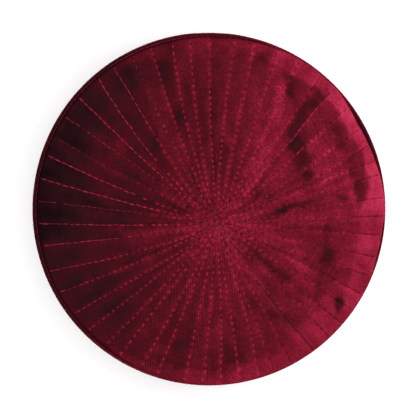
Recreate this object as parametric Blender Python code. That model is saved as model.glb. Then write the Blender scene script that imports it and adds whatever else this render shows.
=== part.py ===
"""A round, flat-topped kufi cap in quilted velvet: a crown, an edge welt and a side band.

The cap stands on its hem at z = 0, with its axis on Z and its back towards +Y. Lengths are in metres.
"""

import math
import random

import bmesh
import bpy

# Overall form
CAP_HEIGHT = 0.088  # from the hem to the top of the crown's dome, before the quilting sinks it
HEM_RADIUS = 0.0955  # outside of the wall at the hem
TOP_RADIUS = 0.094  # outside of the wall and the welt at the top
SEAM_GAP = 0.0003  # clearance between one sewn piece and the next

# Side band
BAND_WALL = 0.0032  # velvet, wadding and backing
BAND_BULGE = 0.0005  # how far the wall swells at half its height
BAND_EDGE_ROUND = 0.0008  # rounding of the hem's two edges
BAND_TOP_ROUND = 0.0013  # rounding of the top's outer edge
HEM_TURN_HEIGHT = 0.012  # how far up the hem is folded
HEM_TURN_THICKNESS = 0.0008  # the folded layer, on the inside
HEM_ROW_HEIGHT = 0.010  # the row of stitching that holds the fold
HEM_ROW_DEPTH = 0.0004  # how far that row pulls the wall in
HEM_ROW_WIDTH = 0.005  # width of the furrow it makes
SEAT_TURN_THICKNESS = 0.002  # the band's upper edge, turned in under the crown

# Crown
CROWN_THICKNESS = 0.003  # velvet, wadding and backing
CROWN_RISE = 0.003  # how far the flat part is domed
SHOULDER_WIDTH = 0.012  # the rolled margin of the crown
SHOULDER_DROP = 0.004  # how far the roll goes down
RIM_HEIGHT = 0.001  # straight part of the edge under the roll
RIM_THICKNESS = 0.002  # the crown's wall at its foot, where the seam presses it
RIM_ROUND = 0.0005  # rounding at the foot of the rim

# Quilting: straight rows sewn from edge to edge, all crossing at one point of the crown
ROW_COUNT = 25
ROW_DEPTH = 0.0007  # how far a row sinks below the cloth between rows
ROW_FADE = 0.4  # share of the way out at which a row has its full depth
ROW_AT_SEAM = 0.3  # share of that depth left where a row runs into the edge seam
FAN_X = 0.0046  # where the rows cross, measured from the crown's centre
FAN_Y = -0.0061
CENTRE_DIP = 0.0005  # the crossing is stitched down flat
CENTRE_RADIUS = 0.010
PUFF_SPREAD = 0.3  # how much the fullness of the cloth between two rows varies
PUFF_SEED = 11

# Edge welt
WELT_WIDTH = 0.003
WELT_HEIGHT = 0.0026
WELT_FOOT = 0.0008  # straight part of its two sides

# Shallow hollows in the crown. The place and the spread are shares of the crown's radius, the depth
# is a share of its rise.
DENT_COLUMNS = ("x", "y", "spread", "depth")
DENTS = (
    (0.62, 0.56, 0.24, 0.38),
    (0.70, -0.29, 0.20, 0.30),
    (-0.42, -0.16, 0.30, 0.22),
    (-0.30, 0.62, 0.26, 0.20),
    (-0.12, -0.66, 0.28, 0.18),
)

# Fineness of the meshes
WALL_COLUMNS = 80
COLUMNS_A_LAND = 3  # a land is the cloth between two neighbouring rows
FLAT_RINGS = (0.0, 0.08, 0.27, 0.48, 0.7, 0.88)  # shares of the crown's flat part
SHOULDER_RINGS = (0.0, 0.35, 0.62, 0.82, 0.95, 1.0)  # shares of the shoulder's width
UNDER_SHOULDER_RINGS = (1.0, 0.8, 0.45, 0.0)  # shares of the way in under the shoulder
UNDER_FLAT_RINGS = (0.5, 0.0)  # shares of the crown's flat part
WALL_RINGS = (0.25, 0.5, 0.75, 1.0)  # shares of the way from the hem row to the top
WELT_ARC_STEPS = 5
JOIN_DISTANCE = 1e-6

# Sizes that follow from the ones above
CROWN_RADIUS = TOP_RADIUS - WELT_WIDTH - SEAM_GAP
FLAT_RADIUS = CROWN_RADIUS - SHOULDER_WIDTH
RIM_INSIDE = CROWN_RADIUS - RIM_THICKNESS
SEAT_HEIGHT = CAP_HEIGHT - CROWN_RISE - SHOULDER_DROP - RIM_HEIGHT  # foot of the crown and of the welt
BAND_TOP = SEAT_HEIGHT - SEAM_GAP
LANDS = 2 * ROW_COUNT


def clear_scene():
    for thing in list(bpy.data.objects):
        bpy.data.objects.remove(thing, do_unlink=True)


def velvet(name, colour, roughness):
    """Burgundy velvet: a rough pile with a reddish sheen at grazing angles."""
    material = bpy.data.materials.new(name)
    material.use_nodes = True
    shader = material.node_tree.nodes["Principled BSDF"]
    shader.inputs["Base Color"].default_value = (*colour, 1.0)
    shader.inputs["Roughness"].default_value = roughness
    shader.inputs["Metallic"].default_value = 0.0
    shader.inputs["Sheen Weight"].default_value = 0.6
    shader.inputs["Sheen Roughness"].default_value = 0.35
    shader.inputs["Sheen Tint"].default_value = (0.75, 0.12, 0.2, 1.0)
    material.diffuse_color = (*colour, 1.0)
    return material


def turned(profile, columns, closed):
    """A bmesh turned about Z from a profile of (radius, height) points."""
    shape = bmesh.new()
    points = [shape.verts.new((radius, 0.0, height)) for radius, height in profile]
    for start, end in zip(points, points[1:]):
        shape.edges.new((start, end))
    if closed:
        shape.edges.new((points[-1], points[0]))
    bmesh.ops.spin(
        shape,
        geom=shape.verts[:] + shape.edges[:],
        cent=(0.0, 0.0, 0.0),
        axis=(0.0, 0.0, 1.0),
        angle=2 * math.pi,
        steps=columns,
        use_merge=True,
    )
    bmesh.ops.remove_doubles(shape, verts=shape.verts, dist=JOIN_DISTANCE)
    bmesh.ops.recalc_face_normals(shape, faces=shape.faces)
    return shape


def piece(name, shape, material, sharp_degrees):
    mesh = bpy.data.meshes.new(name)
    shape.to_mesh(mesh)
    shape.free()
    mesh.shade_smooth()
    mesh.set_sharp_from_angle(angle=math.radians(sharp_degrees))
    mesh.materials.append(material)
    thing = bpy.data.objects.new(name, mesh)
    bpy.context.scene.collection.objects.link(thing)
    return thing


def roll(share):
    """Fall of a quarter round, from 0 at its inner side to 1 at its outer side."""
    return 1.0 - math.sqrt(max(0.0, 1.0 - share * share))


def crown_dome(radius):
    """Height of the domed top, before its shoulder rolls down."""
    return CAP_HEIGHT - CROWN_RISE * (radius / CROWN_RADIUS) ** 2


def crown_top(radius):
    """Height of the crown's upper side, with its rolled shoulder."""
    share = min(1.0, max(0.0, (radius - FLAT_RADIUS) / SHOULDER_WIDTH))
    return crown_dome(radius) - SHOULDER_DROP * roll(share)


def crown_profile():
    """Half of the crown's section, from the middle of its top round the rim to the middle below."""
    radii = [share * FLAT_RADIUS for share in FLAT_RINGS]
    radii += [FLAT_RADIUS + share * SHOULDER_WIDTH for share in SHOULDER_RINGS]
    points = [(radius, crown_top(radius)) for radius in radii]
    points.append((CROWN_RADIUS, SEAT_HEIGHT + RIM_ROUND))
    points.append((CROWN_RADIUS - RIM_ROUND, SEAT_HEIGHT))
    under_drop = crown_dome(RIM_INSIDE) - CROWN_THICKNESS - SEAT_HEIGHT
    for share in UNDER_SHOULDER_RINGS:
        radius = FLAT_RADIUS + share * (RIM_INSIDE - FLAT_RADIUS)
        points.append((radius, crown_dome(radius) - CROWN_THICKNESS - under_drop * roll(share)))
    for share in UNDER_FLAT_RINGS:
        radius = share * FLAT_RADIUS
        points.append((radius, crown_dome(radius) - CROWN_THICKNESS))
    return points


def fan_reach(turn):
    """Distance from the crossing of the rows to the crown's edge, in the direction turn."""
    along = FAN_X * math.cos(turn) + FAN_Y * math.sin(turn)
    return math.sqrt(along**2 + CROWN_RADIUS**2 - FAN_X**2 - FAN_Y**2) - along


def row_sink(turn, share, fullness):
    """How far the cloth lies below its fullest level, at this share of the way out to the edge."""
    place = (turn / (2 * math.pi)) % 1.0 * LANDS
    puff = abs(math.sin(math.pi * place)) * fullness[int(place) % LANDS]
    return ROW_DEPTH * min(1.0, share / ROW_FADE) * (1.0 - puff)


def dent_sink(x, y):
    """Sum of the hollows at a point of the crown, and the flattened crossing of the rows."""
    sink = CENTRE_DIP * math.exp(-((x - FAN_X) ** 2 + (y - FAN_Y) ** 2) / CENTRE_RADIUS**2)
    for row in DENTS:
        dent = dict(zip(DENT_COLUMNS, row))
        away = math.hypot(x / CROWN_RADIUS - dent["x"], y / CROWN_RADIUS - dent["y"])
        sink += dent["depth"] * CROWN_RISE * math.exp(-((away / dent["spread"]) ** 2))
    return sink


def quilt(shape):
    """Moves the turned crown's points onto straight rays from the crossing, and sinks rows and hollows."""
    draws = random.Random(PUFF_SEED)
    fullness = [1.0 - PUFF_SPREAD * draws.random() for _ in range(LANDS)]
    for point in shape.verts:
        radius = math.hypot(point.co.x, point.co.y)
        turn = math.atan2(point.co.y, point.co.x)
        share = radius / CROWN_RADIUS
        reach = share * fan_reach(turn)
        upper = point.co.z > crown_top(radius) - CROWN_THICKNESS / 3
        # The rim's foot stays on its seat, and the cloth gives more the higher it lies above it.
        give = min(1.0, (point.co.z - SEAT_HEIGHT) / (RIM_HEIGHT + SHOULDER_DROP))
        point.co.x = FAN_X + reach * math.cos(turn)
        point.co.y = FAN_Y + reach * math.sin(turn)
        point.co.z -= give * dent_sink(point.co.x, point.co.y)
        if upper:
            depth_left = ROW_AT_SEAM + (1.0 - ROW_AT_SEAM) * give
            point.co.z -= depth_left * row_sink(turn, share, fullness)


def make_crown():
    shape = turned(crown_profile(), LANDS * COLUMNS_A_LAND, closed=False)
    quilt(shape)
    return piece("crown", shape, velvet("crown_velvet", (0.14, 0.008, 0.02), 0.85), 50)


def welt_profile():
    """The welt's section: a flat foot, two short sides and a half-round back."""
    middle = TOP_RADIUS - WELT_WIDTH / 2
    points = [(TOP_RADIUS - WELT_FOOT / 2, SEAT_HEIGHT), (TOP_RADIUS, SEAT_HEIGHT + WELT_FOOT / 2)]
    for step in range(WELT_ARC_STEPS + 1):
        angle = math.pi * step / WELT_ARC_STEPS
        radius = middle + WELT_WIDTH / 2 * math.cos(angle)
        points.append((radius, SEAT_HEIGHT + WELT_FOOT + (WELT_HEIGHT - WELT_FOOT) * math.sin(angle)))
    inside = TOP_RADIUS - WELT_WIDTH
    points.append((inside, SEAT_HEIGHT + WELT_FOOT / 2))
    points.append((inside + WELT_FOOT / 2, SEAT_HEIGHT))
    return points


def make_welt():
    shape = turned(welt_profile(), WALL_COLUMNS, closed=True)
    return piece("edge_welt", shape, velvet("welt_velvet", (0.11, 0.007, 0.017), 0.85), 60)


def band_outside(height):
    share = height / BAND_TOP
    return HEM_RADIUS + (TOP_RADIUS - HEM_RADIUS) * share + BAND_BULGE * math.sin(math.pi * share)


def band_profile():
    """The band's section, up its outside, in over the seat and down its inside."""
    points = [(HEM_RADIUS - BAND_EDGE_ROUND, 0.0), (band_outside(BAND_EDGE_ROUND), BAND_EDGE_ROUND)]
    for offset, sink in ((-0.5, 0.0), (0.0, HEM_ROW_DEPTH), (0.5, 0.0)):
        height = HEM_ROW_HEIGHT + offset * HEM_ROW_WIDTH
        points.append((band_outside(height) - sink, height))
    furrow_top = HEM_ROW_HEIGHT + HEM_ROW_WIDTH / 2
    for share in WALL_RINGS:
        height = furrow_top + share * (BAND_TOP - BAND_TOP_ROUND - furrow_top)
        points.append((band_outside(height), height))
    points.append((TOP_RADIUS - BAND_TOP_ROUND, BAND_TOP))
    seat_under = BAND_TOP - SEAT_TURN_THICKNESS
    points.append((RIM_INSIDE, BAND_TOP))
    points.append((RIM_INSIDE, seat_under))
    points.append((band_outside(seat_under) - BAND_WALL - BAND_TOP_ROUND, seat_under))
    for height in (seat_under - BAND_TOP_ROUND, BAND_TOP / 2, HEM_TURN_HEIGHT + HEM_TURN_THICKNESS):
        points.append((band_outside(height) - BAND_WALL, height))
    hem_inside = HEM_RADIUS - BAND_WALL - HEM_TURN_THICKNESS
    points.append((band_outside(HEM_TURN_HEIGHT) - BAND_WALL - HEM_TURN_THICKNESS, HEM_TURN_HEIGHT))
    points.append((hem_inside, BAND_EDGE_ROUND))
    points.append((hem_inside + BAND_EDGE_ROUND, 0.0))
    return points


def make_band():
    shape = turned(band_profile(), WALL_COLUMNS, closed=True)
    return piece("side_band", shape, velvet("band_velvet", (0.13, 0.008, 0.019), 0.85), 50)


clear_scene()
make_crown()
make_welt()
make_band()
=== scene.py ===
"""Looks of a round, flat-topped kufi cap in burgundy velvet.

The crown is quilted by rows of machine stitching that fan out from one crossing. A rolled welt runs round
its edge, over an upright side band with a folded hem. Lengths are in metres, +Z is up, the hem stands at
z = 0 and the back of the cap is towards +Y.
"""

import math
import random

import bmesh
import bpy
import numpy as np
from mathutils import Matrix, Vector, noise
from mathutils.bvhtree import BVHTree


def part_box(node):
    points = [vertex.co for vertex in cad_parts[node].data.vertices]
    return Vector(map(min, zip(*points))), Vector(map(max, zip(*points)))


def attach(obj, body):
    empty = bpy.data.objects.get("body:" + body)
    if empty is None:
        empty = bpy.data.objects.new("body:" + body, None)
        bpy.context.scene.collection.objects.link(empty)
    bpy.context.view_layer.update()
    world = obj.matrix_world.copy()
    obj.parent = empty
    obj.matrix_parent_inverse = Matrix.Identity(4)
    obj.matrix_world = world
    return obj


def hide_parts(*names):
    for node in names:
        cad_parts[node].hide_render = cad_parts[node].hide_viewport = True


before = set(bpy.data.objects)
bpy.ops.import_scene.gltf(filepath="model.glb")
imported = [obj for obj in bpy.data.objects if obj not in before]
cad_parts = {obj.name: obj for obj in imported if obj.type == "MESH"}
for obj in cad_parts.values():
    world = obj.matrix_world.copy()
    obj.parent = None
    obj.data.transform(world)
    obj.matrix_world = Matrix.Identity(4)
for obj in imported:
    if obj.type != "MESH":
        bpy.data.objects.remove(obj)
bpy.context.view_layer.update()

# The photograph: the cap's outline in pixels
PHOTO_SIDE = 416
OUTLINE_X = 208.95
OUTLINE_Y = 209.0
OUTLINE_RADIUS = 176.4
CAMERA_HEIGHT = 1.5
SENSOR_WIDTH = 36.0  # millimetres
CLIP_END = 20.0

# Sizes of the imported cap
CROWN_LOW, CROWN_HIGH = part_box("crown")
WELT_LOW, WELT_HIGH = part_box("edge_welt")
_, BAND_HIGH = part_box("side_band")
CROWN_RADIUS = CROWN_HIGH.x
CROWN_TOP = CROWN_HIGH.z
SEAT_HEIGHT = CROWN_LOW.z
TOP_RADIUS = WELT_HIGH.x
WELT_TOP = WELT_HIGH.z
BAND_TOP = BAND_HIGH.z
HEM_RADIUS = BAND_HIGH.x

# Crown
CROWN_THICKNESS = 0.003
CROWN_RISE = 0.003
SHOULDER_WIDTH = 0.012
RIM_HEIGHT = 0.001
RIM_THICKNESS = 0.002
RIM_ROUND = 0.0005
RIM_TOP = SEAT_HEIGHT + RIM_HEIGHT
SHOULDER_DROP = CROWN_TOP - CROWN_RISE - RIM_TOP
FLAT_SHARE = 1.0 - SHOULDER_WIDTH / CROWN_RADIUS
RIM_INSIDE = CROWN_RADIUS - RIM_THICKNESS
RIM_STEP_COLUMNS = ("push", "drop")
RIM_STEPS = (
    (0.9, 0.0003),
    (0.2, 0.00035),
)
CROWN_LAYERS = ("ring_radius", "velvet", "push", "lift")

# The crown's soft shoulder swells past its rim, and rolls out over the welt in some directions
SHOULDER_REACH = 0.0009
SHOULDER_LIFT = 0.0003
ROLL_REACH = 0.0022
ROLL_LIFT = 0.0017
ROLL_COLUMNS = ("degrees", "roll")
ROLLS = (
    (0, 1.0),
    (7, 0.9),
    (14, 0.45),
    (22, 0.15),
    (30, 0.0),
    (36, 0.35),
    (42, 0.80),
    (60, 0.75),
    (72, 0.40),
    (84, 0.10),
    (100, 0.0),
    (232, 0.0),
    (248, 0.55),
    (270, 0.85),
    (300, 0.90),
    (336, 0.95),
    (344, 0.60),
    (354, 0.70),
)

# Rows of quilting. A row runs from edge to edge past the crossing. Its directions are the ones in which its
# two ends lie from the crossing, counterclockwise from +X, and each lean is how many millimetres it bows to
# the left, looking outwards, part of the way out. The row with no second end stops at the crossing.
CROSSING = np.array((0.0046, -0.0061))
ROW_COLUMNS = ("from_degrees", "from_lean", "to_degrees", "to_lean")
ROWS = (
    (1.7, -0.9, 180.9, 1.7),
    (8.2, -2.0, 188.2, 2.1),
    (16.0, -1.9, 196.7, 3.7),
    (20.7, -0.5, 204.5, 2.6),
    (26.8, -3.2, None, None),
    (33.1, -3.4, 212.8, 2.8),
    (41.0, -1.3, 220.3, 1.9),
    (48.9, -2.0, 228.0, 2.1),
    (54.6, -1.3, 233.9, 1.4),
    (63.0, -1.7, 242.4, 1.6),
    (70.8, -1.7, 248.5, 1.2),
    (78.1, -0.2, 258.2, 0.2),
    (84.4, 1.9, 264.7, 0.4),
    (92.2, 1.6, 270.9, 1.0),
    (98.5, 3.0, 277.5, 0.0),
    (104.2, 3.4, 285.0, 1.3),
    (111.0, 2.5, 290.5, -0.7),
    (117.5, 2.2, 306.5, -2.2),
    (124.0, 2.7, 297.4, -0.8),
    (130.0, 4.4, 313.9, -0.7),
    (138.3, 2.2, 320.5, -1.9),
    (145.7, 0.5, 326.7, -1.1),
    (152.8, 1.4, 333.0, 0.0),
    (159.0, 3.0, 340.1, -1.9),
    (166.5, 2.1, 347.0, -1.1),
    (173.8, 0.5, 355.0, -0.8),
)
MARKER_ROW = 17  # the row sewn in dark thread
MARKER_SIZE = (0.0020, 0.00042, 0.0004)  # length, width and thickness of a stitch
MARKER_TIGHT_SIZE = (0.0036, 0.0005, 0.0004)
MARKER_FADE = 0.022  # distance from the crossing over which the thread's pale stretch ends
MARKER_FADE_LOSS = 0.9
MARKER_BACK_TONE = 0.75
MARKER_TONES = (0.1, 0.9)
MARKER_LIFT = 0.0004
BOBBIN_SECTION = (0.0005, 0.0004)  # width and thickness
LEAN_SHARE = 0.45  # how far out the leans are measured
ROW_KNOTS = (-1.0, -LEAN_SHARE, LEAN_SHARE, 1.0)
SWAY_FADE = 0.2  # share of the way out from which the cloth follows the rows fully
ROW_END = 0.995  # share of the way out at which a row's stitches stop
ROW_FADE = 0.985  # share of the way out past which a row's furrow fades, and so does its mark in the pile
HALF_ROW_END = 0.1  # share of the way out from the crossing at which the lone half-row stops

# Stretches where the pile hides a row's thread, with how much of it is hidden. A negative number is a stretch
# where the thread lies bare and tight.
HIDDEN_COLUMNS = ("degrees", "from_share", "to_share", "hidden")
HIDDEN = (
    (41.0, 0.57, 0.66, -1.0),
    (48.9, 0.58, 0.92, -1.0),
    (92.2, 0.86, 1.00, 0.8),
    (117.5, 0.00, 1.00, 0.2),
    (111.0, 0.40, 1.00, 0.3),
    (124.0, 0.00, 0.35, 0.6),
    (124.0, 0.35, 0.62, 0.45),
    (124.0, 0.62, 1.00, 0.30),
    (130.0, 0.40, 1.00, 0.15),
    (145.7, 0.00, 0.60, 0.7),
    (145.7, 0.60, 1.00, 0.50),
    (152.8, 0.00, 0.60, 0.8),
    (152.8, 0.60, 1.00, 0.88),
    (173.8, 0.00, 0.55, 0.7),
    (173.8, 0.55, 1.00, 0.68),
    (180.9, 0.45, 1.00, 0.30),
    (188.2, 0.00, 0.40, 0.5),
    (188.2, 0.40, 0.60, 0.35),
    (188.2, 0.60, 1.00, 0.40),
    (196.7, 0.30, 1.00, 0.30),
    (204.5, 0.30, 1.00, 0.40),
    (212.8, 0.30, 1.00, 0.35),
    (220.3, 0.30, 1.00, 0.30),
    (228.0, 0.30, 1.00, 0.30),
    (313.9, 0.10, 0.50, 0.6),
    (320.5, 0.10, 0.60, 0.6),
)

# Quilting relief
SHORTEST_STITCH = 0.0031
LONGEST_STITCH = 0.0037
STITCH_WANDER = 0.0002
PUFF_HEIGHT = 0.0005
PUFF_SPREAD = 0.35
PUFF_FADE = 0.4  # share of the way out at which a land has its full height
FURROW_DEPTH = 0.00024
FURROW_WIDTH = 0.0006
PUCKER_DEPTH = 0.00009
PUCKER_WIDTH = 0.0011
CENTRE_DIP = 0.0005
CENTRE_RADIUS = 0.010
RIM_CALM = 0.6  # how much of the relief is lost at the rim
SHOULDER_CALM = 0.7  # and on the right shoulder
QUILT_SEED = 11

# Shallow hollows of the crown, in shares of its radius and of its rise
DENT_COLUMNS = ("x", "y", "spread", "depth")
DENTS = (
    (0.62, 0.56, 0.24, 0.38),
    (0.70, -0.29, 0.20, 0.30),
    (-0.42, -0.16, 0.30, 0.22),
    (-0.30, 0.62, 0.26, 0.20),
    (-0.12, -0.66, 0.28, 0.18),
)

# How the pile lies on the crown, with painted light and shade, from 0, pressed flat and dark, to 1, upright
# and bright
NAP_MIDDLE = 0.461
# Painted light: the pile is painted brighter towards +X, where the key lamp stands, and darker towards -X.
PAINTED_LIGHT_EAST = 0.17
LAND_NAP = 0.055
STREAK_NAP = 0.09
CLOUD_NAP = 0.06
CLOUD_REACHES = (0.014, 0.006)
LEFT_CALM = 0.4  # how much of the clouds is lost on the left
LAND_FADE = (0.2, 0.3)
STREAKS_A_LAND = 1.7
STREAKS_A_RADIUS = 5.0
STREAK_GAIN = 0.9  # how much stronger the streaks are in a ring about the crossing
STREAK_RING = 0.16
STREAK_RING_WIDTH = 0.12
STREAK_FADE = 0.08

# Zones of the pile, each given by the share of the radius at which it starts and by how softly it does
RIGHT_ZONE = (0.18, 0.30)
FRONT_ZONE = (0.0, 0.4)
OUTER_ZONE = (0.82, 0.08)
LEFT_ZONE_START = 0.15
LEFT_ZONE_WIDTH = 0.35
LEFT_ZONE_RETREAT = 0.35  # how much further out the left zone starts towards the front
CROWD_SHARE = 0.15  # share of the way out over which the rows crowd together

# How strongly a row of stitches shows in the pile, by zone, with its painted glint and painted shade, and the
# ground weave's ribs
GLOW_LOSS_LEFT = 0.8
GLOW_FAINT_BACK = 0.10
GLOW_FAINT_FRONT = 0.50
GLOW_FRONT = (-0.30, 0.4)
HOLE_LOSS_LEFT = 0.85
HOLE_LOSS_OUTER = 0.5
PARTED_LEFT = 0.3
NAP_FADE = 0.01
RIBS_LEAST = 0.25
RIB_FRONT = (-0.15, 0.3)
RIB_EAST = (0.05, 0.35)

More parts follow.
